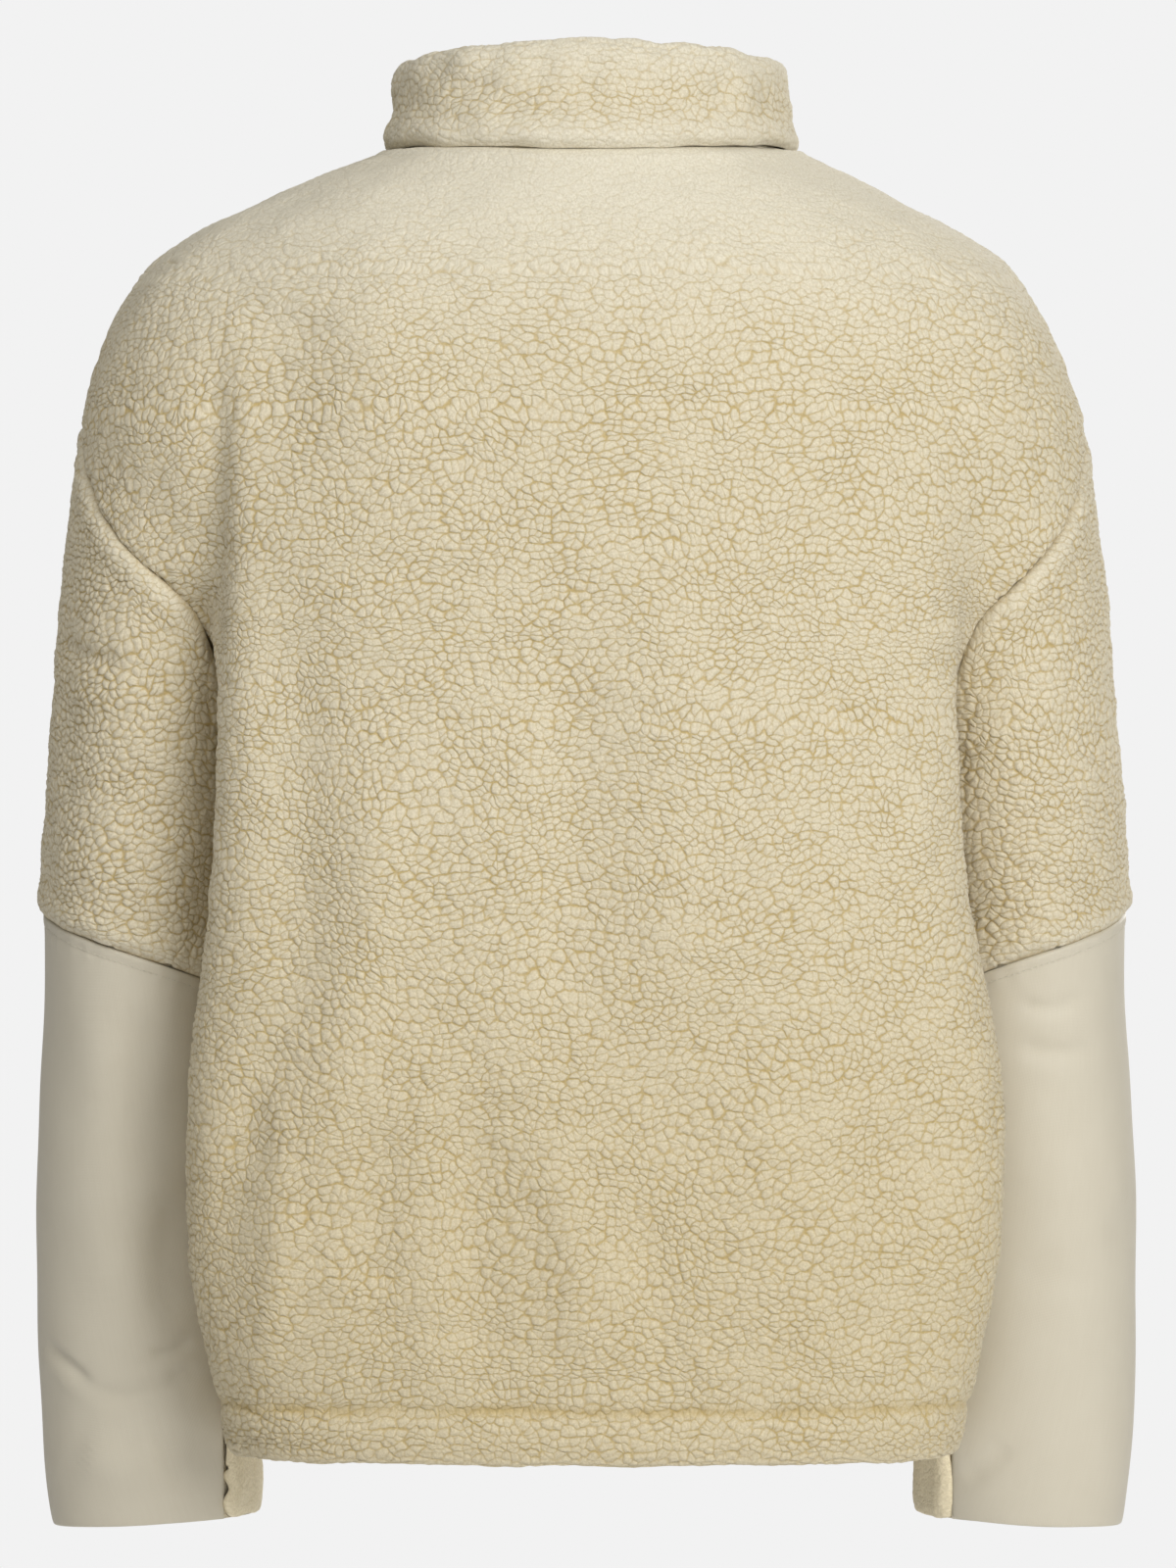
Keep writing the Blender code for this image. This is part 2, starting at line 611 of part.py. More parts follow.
def grid_solid(name, outer, inner, ring=False):
    """A closed solid between two grids of points that match each other. Cells with a point that isn't
    a number are left out, and walls close every open edge."""
    rows, columns = outer.shape[:2]
    under = rows * columns
    points = np.concatenate((outer.reshape(-1, 3), inner.reshape(-1, 3)))
    cells = []
    for j in range(rows - 1):
        for i in range(columns if ring else columns - 1):
            a, b = j * columns + i, j * columns + (i + 1) % columns
            cell = (a, b, b + columns, a + columns)
            if not np.isnan(points[list(cell)]).any():
                cells.append(cell)
    sides = {(cell[k], cell[(k + 1) % 4]) for cell in cells for k in range(4)}
    faces = list(cells)
    faces += [tuple(corner + under for corner in reversed(cell)) for cell in cells]
    faces += [(b, a, a + under, b + under) for a, b in sides if (b, a) not in sides]
    used = sorted({corner for face in faces for corner in face})
    place = {corner: k for k, corner in enumerate(used)}
    return solid_from(name, points[used], [tuple(place[c] for c in face) for face in sorted(faces)])


def solid_from(name, points, faces):
    triangles = []
    for face in faces:
        corners = [points[i] for i in face]
        if len(face) == 4:
            short = np.linalg.norm(corners[0] - corners[2]) <= np.linalg.norm(corners[1] - corners[3])
            a, b, c, d = face
            triangles += [(a, b, c), (a, c, d)] if short else [(a, b, d), (b, c, d)]
        else:
            triangles.append(face)
    corner = points[np.array(triangles)]
    volume = (corner[:, 0] * np.cross(corner[:, 1], corner[:, 2])).sum() / 6
    if volume < 0:
        triangles = [triangle[::-1] for triangle in triangles]
    mesh = bpy.data.meshes.new(name)
    mesh.from_pydata((points * MM).tolist(), [], triangles)
    mesh.update()
    thing = bpy.data.objects.new(name, mesh)
    bpy.context.collection.objects.link(thing)
    return thing


def elbow_height(angle):
    return ELBOW_OUTER - ELBOW_DROP * np.sin(np.abs(angle) / 2) ** 2


def cuff_height(angle):
    return CUFF_OUTER + CUFF_RISE * np.sin(np.abs(angle) / 2) ** 2


def upper_sleeve(name, side):
    ring = ARMHOLES[side]
    even = np.linspace(0, 2 * math.pi, SLEEVE_CELLS, endpoint=False)
    even = np.where(even > math.pi, even - 2 * math.pi, even)
    top = ring["points"][:, 2]
    foot = elbow_height(even) + SEAM_GAP / 2
    rows = [ring["points"] + ring["across"] * SEAM_GAP / 2]
    normals = [ring["normals"]]
    for t in np.linspace(0, 1, SLEEVE_ROWS + 1)[1:]:
        angle = ring["angle"] + (even - ring["angle"]) * smooth_step(t)
        line = sleeve_point(angle, top + (foot - top) * t, side)
        rows.append(line)
        normals.append(surface_normal(line))
    outer, normal = np.array(rows), np.array(normals)
    return grid_solid(name, outer, outer - normal * FLEECE, ring=True)


def forearm(name, side, first_angle, last_angle, cells, inset, thick):
    """A forearm panel between two directions round the arm, from the elbow seam to the cuff."""
    angle = np.linspace(first_angle, last_angle, cells + 1)
    angle[[0, -1]] += np.array((1, -1)) * SEAM_GAP / 2 / FOREARM_RADIUS
    wrapped = np.where(angle > math.pi, angle - 2 * math.pi, angle)
    top, foot = elbow_height(wrapped) - SEAM_GAP / 2, cuff_height(wrapped)
    rows = [sleeve_point(wrapped, top + (foot - top) * t, side) for t in np.linspace(0, 1, FOREARM_ROWS + 1)]
    outer = np.array(rows)
    normal = surface_normal(outer)
    outer = outer - normal * inset
    return grid_solid(name, outer, outer - normal * thick)


def collar_top(points, angle):
    """The collar's upper edge above each point of the neck seam."""
    turn = np.abs(angle)
    side_share = np.sin(np.minimum(turn, math.pi / 2)) ** 2
    front_share = np.sin(np.maximum(turn - math.pi / 2, 0)) ** 2
    height = COLLAR_BACK + (COLLAR_SIDE - COLLAR_BACK) * side_share + (COLLAR_FRONT - COLLAR_SIDE) * front_share
    top = points * (COLLAR_NARROWS, COLLAR_NARROWS, 1)
    top[..., 1] += COLLAR_LEAN
    top[..., 2] += height
    return top


def collar_grid(angle):
    """The collar's outer and inner points: a ring of columns over the neck seam, a row for each rise."""
    foot = neck_point(angle)
    top = collar_top(foot, angle)
    outward = unit(foot * (1, 1, 0))
    outer, inner = [], []
    for rise, puff, thick in COLLAR:
        line = foot + (top - foot) * rise + outward * puff
        normal = neck_normal(foot) if rise == 0 else outward
        outer.append(line + (0, 0, SEAM_GAP / 2 if rise == 0 else 0))
        inner.append(outer[-1] - normal * thick)
    return np.array(outer), np.array(inner)


def collar():
    back = SHOULDER_SEAM_ANGLE * crowd_outward(BACK_HALF_CELLS)
    half = np.concatenate((back, NECK_ANGLES))
    angle = np.concatenate((-half[:0:-1], half))
    outer, inner = collar_grid(angle)
    return grid_solid("collar", outer, inner)


def front_corner_angle():
    """The direction at which the neck seam reaches the edge of a front."""
    low, high = math.radians(150), math.pi
    for _ in range(40):
        middle = (low + high) / 2
        beyond = neck_point(np.array((middle,)))[0][0] > FRONT_EDGE
        low, high = (middle, high) if beyond else (low, middle)
    return low


def front_line(heights):
    """The outside of the closed front at its middle, over the body and then the collar."""
    section = Section(heights)
    low, high = section.torso_widest_at, section.torso_widest_at - DEEPEST
    low = bisect(lambda y: outline_distance(0 * y, y, section), low, high)
    puff, _ = hem_shape(heights)
    body = low - puff
    foot = neck_point(np.array((math.pi,)))
    top = collar_top(foot, np.array((math.pi,)))
    rise = np.clip((heights - foot[0, 2]) / (top[0, 2] - foot[0, 2]), 0, 1)
    bulge = np.interp(rise, COLLAR[:, 0], COLLAR[:, 1])
    neck = foot[0, 1] + (top[0, 1] - foot[0, 1]) * rise - bulge
    return np.where(heights > foot[0, 2], neck, body)


def zip_strip(name, x_from, x_to, sunk, thick, top, foot):
    """A strip of the zip, which follows the closed front at a depth below the pile."""
    heights = np.linspace(top, foot, ZIP_ROWS + 1)
    y = front_line(heights)
    slope = np.gradient(y, heights)
    normal = unit(np.stack((0 * slope, -np.ones_like(slope), slope), -1))
    outer = []
    for x in (x_from, x_to):
        line = np.stack((np.full_like(y, x), y, heights), -1)
        outer.append(line - normal * sunk)
    outer = np.array(outer).transpose(1, 0, 2)
    return grid_solid(name, outer, outer - normal[:, None] * thick)


def zip_ends():
    """The heights between which the zip tapes run, just inside the collar's top and the hem."""
    front = np.array((math.pi,))
    return float(collar_top(neck_point(front), front)[0, 2]) - 4, HEM + 3


class FrontPlace:
    """A place on the closed front's middle line, with its own upright direction and outward direction."""

    def __init__(self, height):
        near = front_line(np.array((height - 4.0, height, height + 4.0)))
        slope = (near[2] - near[0]) / 8.0
        self.middle = np.array((0.0, near[1], height))
        self.up = unit(np.array((0.0, slope, 1.0)))
        self.out = unit(np.array((0.0, -1.0, slope)))

    def put(self, points):
        """Points given as across, out of the front and up, put into the jacket's frame."""
        points = np.asarray(points, float)
        across = points[..., :1] * np.array((1.0, 0.0, 0.0))
        return self.middle + across + points[..., 1:2] * self.out + points[..., 2:] * self.up


BOX_FACES = ((0, 1, 3, 2), (4, 6, 7, 5), (0, 4, 5, 1), (2, 3, 7, 6), (0, 2, 6, 4), (1, 5, 7, 3))


def box_solid(name, place, middle, size):
    corners = np.array([(x, y, z) for x in (-1, 1) for y in (-1, 1) for z in (-1, 1)], float)
    return solid_from(name, place.put(np.array(middle) + corners * np.array(size) / 2), BOX_FACES)


def round_lug(name, place, middle, radius, wide, sides=12):
    """A short round bar along X."""
    turn = np.linspace(0, 2 * math.pi, sides, endpoint=False)
    ring = np.stack((0 * turn, radius * np.cos(turn), radius * np.sin(turn)), -1) + np.array(middle)
    points = np.concatenate((ring - (wide / 2, 0, 0), ring + (wide / 2, 0, 0)))
    faces = [(i, (i + 1) % sides, sides + (i + 1) % sides, sides + i) for i in range(sides)]
    fans = [(0, i + 1, i) for i in range(1, sides - 1)]
    fans += [(sides, sides + i, sides + i + 1) for i in range(1, sides - 1)]
    return solid_from(name, place.put(points), faces + fans)


def zip_box(foot):
    """The box that holds the foot of the zip together."""
    place = FrontPlace(foot + BOX_TALL / 2)
    middle = (0, -CHAIN_SUNK - CHAIN_THICK / 2, 0)
    return box_solid("zip_box", place, middle, (2 * CHAIN_HALF, CHAIN_THICK + 1, BOX_TALL))


def join(name, pieces):
    """One solid out of several that run into each other."""
    whole = pieces[0]
    for piece in pieces[1:]:
        cut = whole.modifiers.new("join", "BOOLEAN")
        cut.operation, cut.solver, cut.object = "UNION", "EXACT", piece
    depsgraph = bpy.context.evaluated_depsgraph_get()
    mesh = bpy.data.meshes.new_from_object(whole.evaluated_get(depsgraph))
    whole.modifiers.clear()
    whole.data = mesh
    for piece in pieces[1:]:
        bpy.data.objects.remove(piece)
    whole.name = name
    mesh.name = name
    return whole


def zip_slider_and_pull(height):
    """The slider at the top of the closed zip, and the pull tab that swings on its two lugs."""
    place = FrontPlace(height)
    front = SLIDER_BACK + SLIDER_THICK
    body = box_solid("slider_body", place, (0, SLIDER_BACK + SLIDER_THICK / 2, 0),
                     (SLIDER_WIDE, SLIDER_THICK, SLIDER_TALL))
    axle = (0.0, front + LUG_RADIUS - 0.3, 1.5)
    pieces = [body]
    for side in (-1, 1):
        x = side * (PULL_WIDE / 2 + 0.3 + LUG_WIDE / 2)
        pieces.append(round_lug("lug", place, (x, axle[1], axle[2]), LUG_RADIUS, LUG_WIDE))
    slider = join("zip_slider", pieces)
    knuckle = round_lug("knuckle", place, axle, LUG_RADIUS - 0.7, PULL_WIDE)
    tab = box_solid("tab", place, (0, axle[1], axle[2] - PULL_LONG / 2), (PULL_WIDE, PULL_THICK, PULL_LONG))
    pull = join("zip_pull", [knuckle, tab])
    pivot = place.put(axle) * MM
    pull.data.transform(Matrix.Translation(-pivot))
    pull.location = tuple(pivot)
    return slider, pull


def paint(thing, kind, roughness, metallic=0.0):
    material = bpy.data.materials.new(thing.name)
    material.use_nodes = True
    shader = material.node_tree.nodes["Principled BSDF"]
    shader.inputs["Base Color"].default_value = COLOURS[kind]
    shader.inputs["Roughness"].default_value = roughness
    shader.inputs["Metallic"].default_value = metallic
    thing.data.materials.clear()
    thing.data.materials.append(material)


FIT_HEIGHTS = np.arange(-216.0, 10.0, 2.0)
FIT = np.ones_like(FIT_HEIGHTS)
FIT = fit_outline()
ARMHOLES = {side: armhole(side) for side in (1, -1)}
NECK_ANGLES = np.concatenate((
    (FRONT_NECK_FIRST,), np.radians((114.0, 127.0, 140.0, 153.0, 165.0)), (front_corner_angle(),)))
NECK_ROWS = neck_height(NECK_ANGLES)[1:]
SHOULDER_ROWS = np.array((-80.0, -103.0))
SIDE_ROWS = np.array((-288, -312, -336, -362, -390, -423, -456, -489, -522, -555, -585, -610, HEM_STITCH,
                      -632, -645, HEM))


def main():
    for thing in list(bpy.data.objects):
        bpy.data.objects.remove(thing)

    fleece = [back_panel(), collar()]
    woven = []
    for word, side in (("left", 1), ("right", -1)):
        fleece.append(front_panel("front_" + word, side))
        fleece.append(upper_sleeve("sleeve_upper_" + word, side))
        woven.append(forearm("forearm_woven_" + word, side, -STRIP_ANGLE, STRIP_ANGLE, WOVEN_CELLS,
                             WOVEN_INSET, WOVEN))
        fleece.append(forearm("forearm_strip_" + word, side, STRIP_ANGLE, 2 * math.pi - STRIP_ANGLE,
                              STRIP_CELLS, 0.0, FLEECE))
    for thing in fleece:
        paint(thing, "fleece", 0.95)
    for thing in woven:
        paint(thing, "woven", 0.5)

    top, foot = zip_ends()
    for word, side in (("left", 1), ("right", -1)):
        tape = zip_strip("zip_tape_" + word, side * TAPE_IN, side * TAPE_OUT, TAPE_SUNK, TAPE_THICK, top, foot)
        paint(tape, "tape", 0.8)
    slider_height = top - SLIDER_TALL / 2 - 5
    chain = zip_strip("zip_chain", -CHAIN_HALF, CHAIN_HALF, CHAIN_SUNK, CHAIN_THICK,
                      slider_height - SLIDER_TALL / 2 - SEAM_GAP, foot + BOX_TALL + SEAM_GAP)
    paint(chain, "tape", 0.5)
    for thing in (*zip_slider_and_pull(slider_height), zip_box(foot)):
        paint(thing, "metal", 0.35, 0.9)


main()
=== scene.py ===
"""Looks for a boxy fleece jacket, filled out as worn, around its packed construction solids.

Every cloth panel is a sheet taken from its own solid. A fleece panel's outer side is subdivided, drawn in at
its seams and raised into the curls of the pile, and its inner side becomes the knitted ground. The forearm
panels are smooth woven cloth with creases, a welt along the elbow seam and a row of topstitching. The zip
gets its teeth, slider and tape. Lengths are in metres, +Z is up, and the back of the jacket faces +Y.
"""

import heapq
import json
import math

import bmesh
import bpy
import numpy as np
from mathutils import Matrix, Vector
from mathutils.bvhtree import BVHTree
from mathutils.kdtree import KDTree

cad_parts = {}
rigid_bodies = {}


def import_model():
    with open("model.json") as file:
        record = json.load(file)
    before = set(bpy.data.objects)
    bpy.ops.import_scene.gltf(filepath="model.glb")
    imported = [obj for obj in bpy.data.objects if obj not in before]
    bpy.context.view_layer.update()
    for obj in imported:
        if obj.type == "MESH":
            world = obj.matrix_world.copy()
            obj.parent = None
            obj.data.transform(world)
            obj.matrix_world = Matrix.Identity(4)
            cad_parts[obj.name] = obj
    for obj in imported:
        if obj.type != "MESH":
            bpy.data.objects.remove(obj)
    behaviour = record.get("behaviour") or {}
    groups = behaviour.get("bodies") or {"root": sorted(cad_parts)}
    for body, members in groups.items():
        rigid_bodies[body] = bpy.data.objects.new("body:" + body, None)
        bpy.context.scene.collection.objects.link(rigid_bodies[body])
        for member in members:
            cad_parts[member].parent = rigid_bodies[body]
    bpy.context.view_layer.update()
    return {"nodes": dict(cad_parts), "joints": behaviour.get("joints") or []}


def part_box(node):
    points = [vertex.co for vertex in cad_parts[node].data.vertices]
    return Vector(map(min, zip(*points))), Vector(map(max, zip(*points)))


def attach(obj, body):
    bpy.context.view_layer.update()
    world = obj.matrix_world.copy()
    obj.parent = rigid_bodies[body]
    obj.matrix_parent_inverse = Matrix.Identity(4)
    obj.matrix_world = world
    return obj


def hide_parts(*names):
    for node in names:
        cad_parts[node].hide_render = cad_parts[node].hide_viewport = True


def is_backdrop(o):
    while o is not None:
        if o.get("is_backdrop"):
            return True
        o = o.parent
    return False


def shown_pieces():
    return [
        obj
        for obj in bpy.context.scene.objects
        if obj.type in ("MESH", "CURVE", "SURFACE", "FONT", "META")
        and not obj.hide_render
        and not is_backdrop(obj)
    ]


MM = 0.001

# The pile, made of curls packed side by side
CURL = 4.5 * MM  # from one curl to the next
CURL_HIGH = 1.5 * MM
CURL_WIDER = 1.2  # curls are a little wider than tall
CURL_GROUP = 2.7  # curls across a group that deeper cracks part from the next
CURL_WANDERS = ((3.6 * MM, 1.3 * MM), (13 * MM, 3.2 * MM), (75 * MM, 15 * MM))  # a bend's size and its reach
CURL_TALLER, CURL_FOOT = 0.35, 0.95  # how much taller some curls are, and where their height is counted from
CRACK_WIDE, CRACK_STEEP, CRACK_ROUND = 0.46, 1.9, 0.25  # of a curl: its sides, and how round its top is
CRACK_PARTED, CRACK_LEVEL = 0.26, 0.28  # how much deeper cracks are between groups, and where they run level
CRACK_CHANGE, CRACK_LEAST, CRACK_CHANGE_WIDE = 0.7, 0.08, 30 * MM  # how their depth changes across the cloth
FLEECE = 5 * MM  # the wall's whole thickness
SWELLS = ((0.6 * MM, 55 * MM, 3), (0.45 * MM, 24 * MM, 8))  # its soft lumps: how high, their size, their seed
COLLAR_SWELL = (0.9 * MM, 17 * MM, 14)

# How finely each sheet is cut: the longest edge left in it
FINEST = {"back_panel": 3.35 * MM, "forearm_woven_left": 3.0 * MM, "forearm_woven_right": 3.0 * MM}
FINEST_ELSE = 2.45 * MM
SHARP = math.radians(50)  # a panel's sides end where its solid turns by more than this
TOUCHING = 1.5 * MM  # a face this near another panel, and opposed to it, is the inside of a seam
OPPOSED = -0.6
COLLAR_PARTS = 60  # parts of a turn in which the collar's ring is measured

# Where the pile's looks change, in metres up: from one height, over a length below it
SHOULDER_SOFT = (-0.012, 0.115)  # brushed soft and painted lighter above, where the shoulders face the light, full curls below
HEM_SHADE = (-0.27, 0.30)  # where the colour darkens towards the hem, painted shade of the lower body
CUFF_LIT, CUFF_WORN = (-0.60, 0.03), (-0.60, 0.04)  # the strips' worn-down pile: its colour, lightened as painted light on the lit strips, and its curls
NECK_BAND, NECK_HALF = (-0.10, 0.02), 0.12  # the neck seam: from what height, over what length, how wide

# Seams
SEAM_SINK, SEAM_SINK_WIDE = 2.6 * MM, 2.4 * MM
SEAM_PUFF, SEAM_PUFF_AT, SEAM_PUFF_WIDE = 1.3 * MM, 8.5 * MM, 6 * MM
NECK_SINK = 0.1  # the share of that at the neck seam
NECK_PUFF, NECK_PUFF_AT, NECK_PUFF_WIDE = 1.6 * MM, 6.5 * MM, 4.5 * MM
BRUSHED = 13 * MM  # how far from a seam or an edge the curls are brushed out
SEAM_TURNED = 4 * MM  # how far a woven panel's edge turns in at a seam
SEAM_LEAN = 7 * MM  # how far from a seam the cloth leans along the seam's own face
HEM_STITCH, HEM_LOW = -0.6235, -0.6510
HEM_STITCH_SINK, HEM_STITCH_WIDE = 1.3 * MM, 2.6 * MM

# The forearm's welt and topstitching
ELBOW_LOW = -0.432  # the elbow's seam lies above this
ARM_MIDDLE, ARM_ROUND = (0.228, -0.04), 45 * MM
WELT_WIDE, WELT_HIGH = 5.4 * MM, 0.55 * MM
PUCKER, PUCKER_LONG = 0.22 * MM, 8.5 * MM
STITCH_LONG, STITCH_STEP, STITCH_THICK = 2.3 * MM, 3.2 * MM, 0.42 * MM
STITCH_ARCH = ((0, 0.55, -0.5), (0.2, 0.95, 0.25), (0.5, 1.0, 0.45), (0.8, 0.95, 0.25), (1, 0.55, -0.5))

# The zip, in millimetres: across, and inward from the tops of the pile
TAPE_EDGE, TAPE_DEEP, TAPE_THICK = 3.3, 2.2, 1.2
TAPE_PROFILE = ((8.66, 2.2), (6.4, 2.14), (4.2, 2.2), (3.6, 1.95), (3.0, 1.85), (2.5, 2.15), (2.3, 2.8),
                (2.5, 3.4), (3.0, 3.7), (3.7, 3.5), (4.2, 3.4), (8.66, 3.4))
TAPE_STEP = 4.0  # from one ring of that profile to the next
TOOTH_STEP = 2.9  # from one tooth to the next on the same tape
TEETH_FOOT, TEETH_TOP = 1.1, 0.9  # from the chain's ends to the first and the last tooth
# Outlines: across, and up (half a tooth's height). Their layers: outward, and the share of the full outline
TOOTH = ((3.1, 0.95), (1.7, 0.62), (0.75, 0.6), (0.1, 0.71), (-0.7, 0.6), (-1.0, 0.25))
TOOTH_LAYERS = ((-1.4, 0.74), (-1.75, 1.0), (-3.65, 1.0), (-4.0, 0.8))
HINGE_AT = (0, 3.65, 1.5)  # the pull tab's hinge, counted from the slider's middle
SLIDER = ((0, 5.2), (2.6, 5.5), (4.4, 5.2), (5.2, 3.6), (5.2, 0.4), (4.4, -2.2), (4.0, -4.6), (3.2, -5.5),
          (0, -5.5))
SLIDER_LAYERS = ((-1.85, 0.86), (-1.55, 0.98), (-1.1, 0.98), (-0.9, 0.86), (0.8, 0.86), (1.0, 0.98),
                 (1.45, 0.98), (1.75, 0.88))
LUG_OUT, LUG_ROUND = 4.1, 2.15
LUG_LAYERS = ((-0.8, 0.86), (-0.55, 1.0), (0.55, 1.0), (0.8, 0.86))
ROLL_SIZE = 0.66  # the tab's roll between the lugs, as a share of their roundness
ROLL_LAYERS = ((-2.95, 0.9), (-2.75, 1.0), (2.75, 1.0), (2.95, 0.9))
TAB = ((0, 1.3), (2.6, 1.2), (3.0, 0.2), (2.9, -1.6), (2.3, -3.2), (2.2, -6.0), (2.7, -9.0), (3.0, -12.5),
       (3.0, -22.5), (2.5, -24.9), (1.4, -25.8), (0, -26.0))
TAB_HOLE = ((0, -10.0), (0.5, -10.1), (0.9, -10.5), (1.2, -11.0), (1.35, -11.8), (1.4, -13.0), (1.4, -16.0),
            (1.4, -19.6), (1.35, -21.0), (1.1, -22.0), (0.6, -22.6), (0, -22.8))
TAB_LAYERS = ((-0.8, 0.93), (-0.5, 1.0), (0.5, 1.0), (0.8, 0.93))
BOX = ((0, 5.4), (2.4, 5.4), (3.0, 4.7), (3.0, 0.8), (2.75, 0.4), (3.0, 0.0), (3.0, -4.7), (2.4, -5.4),
       (0, -5.4))
BOX_LAYERS = ((-4.4, 0.9), (-4.1, 1.0), (-1.3, 1.0), (-0.95, 0.88))

# Folds and creases of each part, on its back and its front, in millimetres across the jacket and up: a fold's
# start, a point between and its end, its width, its depth (a ridge has a depth below nought), and how sharp
# its upper side is
BODY, SLEEVE, FOREARM = "body", "sleeve", "forearm"
BACK, FRONT = 1, -1
FOLD_STEPS = 33  # places along a fold from which distances are measured
FOLD_COLUMNS = ("x1", "z1", "x2", "z2", "x3", "z3", "wide", "deep", "crisp")
FOLDS = {
    (BODY, BACK): (
        (184, -92, 186, -180, 193, -268, 10, 6.0, 0),
        (176, -90, 172, -230, 170, -400, 13, -3.0, 0),
        (102, -20, 104, -90, 98, -160, 24, -3.0, 0),
        (146, -70, 152, -110, 142, -160, 22, 3.5, 0),
        (148, -200, 142, -340, 150, -440, 17, 4.5, 0),
        (150, -430, 166, -480, 184, -560, 13, 4.5, 0),
        (160, -440, 150, -520, 160, -610, 9, -2.0, 0),
        (106, -300, 108, -400, 148, -530, 18, -4.5, 0),
        (146, -520, 158, -570, 160, -612, 14, -2.5, 0),
        (96, -470, 104, -540, 92, -600, 14, 3.0, 0),
        (12, -225, 8, -340, 16, -440, 19, 5.0, 0),
        (-38, -200, -40, -340, -36, -450, 22, -4.0, 0),
        (54, -440, 56, -540, 46, -612, 15, 4.5, 0),
        (26, -470, 8, -540, 2, -606, 15, -4.0, 0),
        (-24, -510, -34, -570, -44, -612, 12, 3.0, 0),
        (-114, -140, -124, -290, -146, -440, 21, 5.5, 0),
        (-176, -150, -184, -290, -192, -420, 14, -2.5, 0),
        (-86, -430, -92, -520, -74, -600, 22, -2.5, 0),
        (-140, -460, -150, -540, -132, -606, 16, 3.0, 0),
    ),
    (BODY, FRONT): (
        (178, -90, 182, -170, 178, -240, 10, 5.0, 0),
        (92, -160, 118, -290, 100, -430, 20, 5.0, 0),
        (60, -330, 66, -470, 84, -600, 18, -3.5, 0),
        (40, -480, 52, -550, 44, -612, 14, 3.5, 0),
        (132, -440, 140, -520, 128, -600, 15, 3.5, 0),
        (-176, -90, -184, -180, -176, -250, 10, 5.5, 0),
        (-76, -190, -104, -320, -92, -460, 20, 4.5, 0),
        (-128, -330, -134, -450, -112, -590, 17, -3.5, 0),
        (-48, -450, -44, -540, -64, -610, 15, 4.0, 0),
    ),
    (SLEEVE, BACK): (
        (270, -238, 252, -250, 230, -252, 6, 3.0, 0.2),
        (262, -262, 244, -272, 222, -262, 8, -2.0, 0),
        (268, -310, 250, -318, 226, -312, 8, 1.8, 0),
        (272, -348, 256, -352, 234, -350, 9, -1.6, 0),
        (-266, -282, -250, -290, -230, -284, 9, 1.6, 0),
        (-268, -350, -250, -356, -232, -352, 9, -1.4, 0),
    ),
    (SLEEVE, FRONT): (
        (262, -250, 240, -262, 214, -254, 8, 3.0, 0.1),
        (266, -318, 246, -330, 220, -322, 9, 2.2, 0),
        (-262, -236, -240, -250, -212, -244, 8, 2.8, 0.1),
        (-266, -330, -242, -340, -214, -330, 9, 2.2, 0),
    ),
    (FOREARM, BACK): (
        (277, -598, 265, -608, 252, -619, 4.5, 2.4, 0.7),
        (252, -619, 230, -624, 197, -611, 5.5, 1.4, 0.4),
        (223, -604, 212, -601, 199, -597, 4.0, 1.8, 0.4),
        (214, -614, 206, -613, 196, -612, 4.5, 1.0, 0.2),
        (262, -652, 236, -660, 214, -655, 14, -3.0, 0),
        (204, -520, 214, -556, 210, -590, 14, 3.2, 0),
        (244, -410, 247, -500, 243, -590, 13, -1.6, 0),
        (220, -420, 222, -470, 214, -520, 16, 2.0, 0),
        (-216, -424, -232, -427, -250, -421, 5.0, 1.3, 0.2),
        (-216, -446, -236, -449, -262, -447, 6.0, 1.4, 0.2),
        (-214, -561, -238, -565, -262, -561, 9.0, 0.9, 0),
        (-262, -548, -272, -538, -279, -524, 8.0, 1.0, 0),
        (-190, -668, -203, -660, -214, -648, 6.0, 1.2, 0.1),
    ),
    (FOREARM, FRONT): (
        (188, -592, 214, -604, 246, -596, 6.0, 2.0, 0.4),
        (200, -615, 230, -621, 268, -612, 5.0, 1.6, 0.3),
        (192, -470, 210, -478, 236, -473, 8.0, 1.4, 0.1),
        (-188, -566, -212, -578, -243, -572, 6.0, 1.9, 0.4),
        (-196, -604, -226, -611, -262, -603, 6.0, 1.6, 0.2),
        (-194, -452, -214, -459, -240, -453, 7.0, 1.3, 0.1),
    ),
}

# Colours, linear
PILE_TOP = (0.735, 0.665, 0.50, 1)
PILE_SOFT_LIT = (0.775, 0.73, 0.60, 1)  # where the pile is brushed over the shoulders, lighter as painted light on the shoulders, which face the light from above
# painted shade on the low sides of the curls and on the shorter curls
PILE_CURL_SHADE = (0.66, 0.56, 0.365, 1)
PILE_HEM_SHADE = (0.685, 0.60, 0.415, 1)  # towards the hem, darker as painted shade where less of the light from above falls
# ochre of the pile's roots in the cracks between curls, darkened as painted shade
PILE_CRACK_SHADE = (0.55, 0.415, 0.17, 1)
FELT_LIT = (0.90, 0.80, 0.57, 1)  # the worn-down pile of the forearm strips, lighter as painted light where the strips are lit
FLECK_DARK, FLECK_LIGHT = (0.90, 0.88, 0.84, 1), (1.05, 1.05, 1.06, 1)  # what fine wool multiplies them by
PILE_SHEEN = (1, 0.96, 0.86, 1)
GROUND = (0.66, 0.59, 0.43, 1)  # the knitted inner side
GROUND_DARK = (0.58, 0.51, 0.36, 1)
GROUND_LOOP = (0.74, 0.67, 0.51, 1)
WOVEN = (0.675, 0.625, 0.505, 1)
WOVEN_DARK = (0.63, 0.575, 0.455, 1)
THREAD = (0.74, 0.69, 0.57, 1)
TAPE = (0.60, 0.53, 0.38, 1)
TAPE_DARK = (0.54, 0.47, 0.33, 1)
TEETH = (0.66, 0.60, 0.47, 1)
METAL = (0.50, 0.48, 0.44, 1)

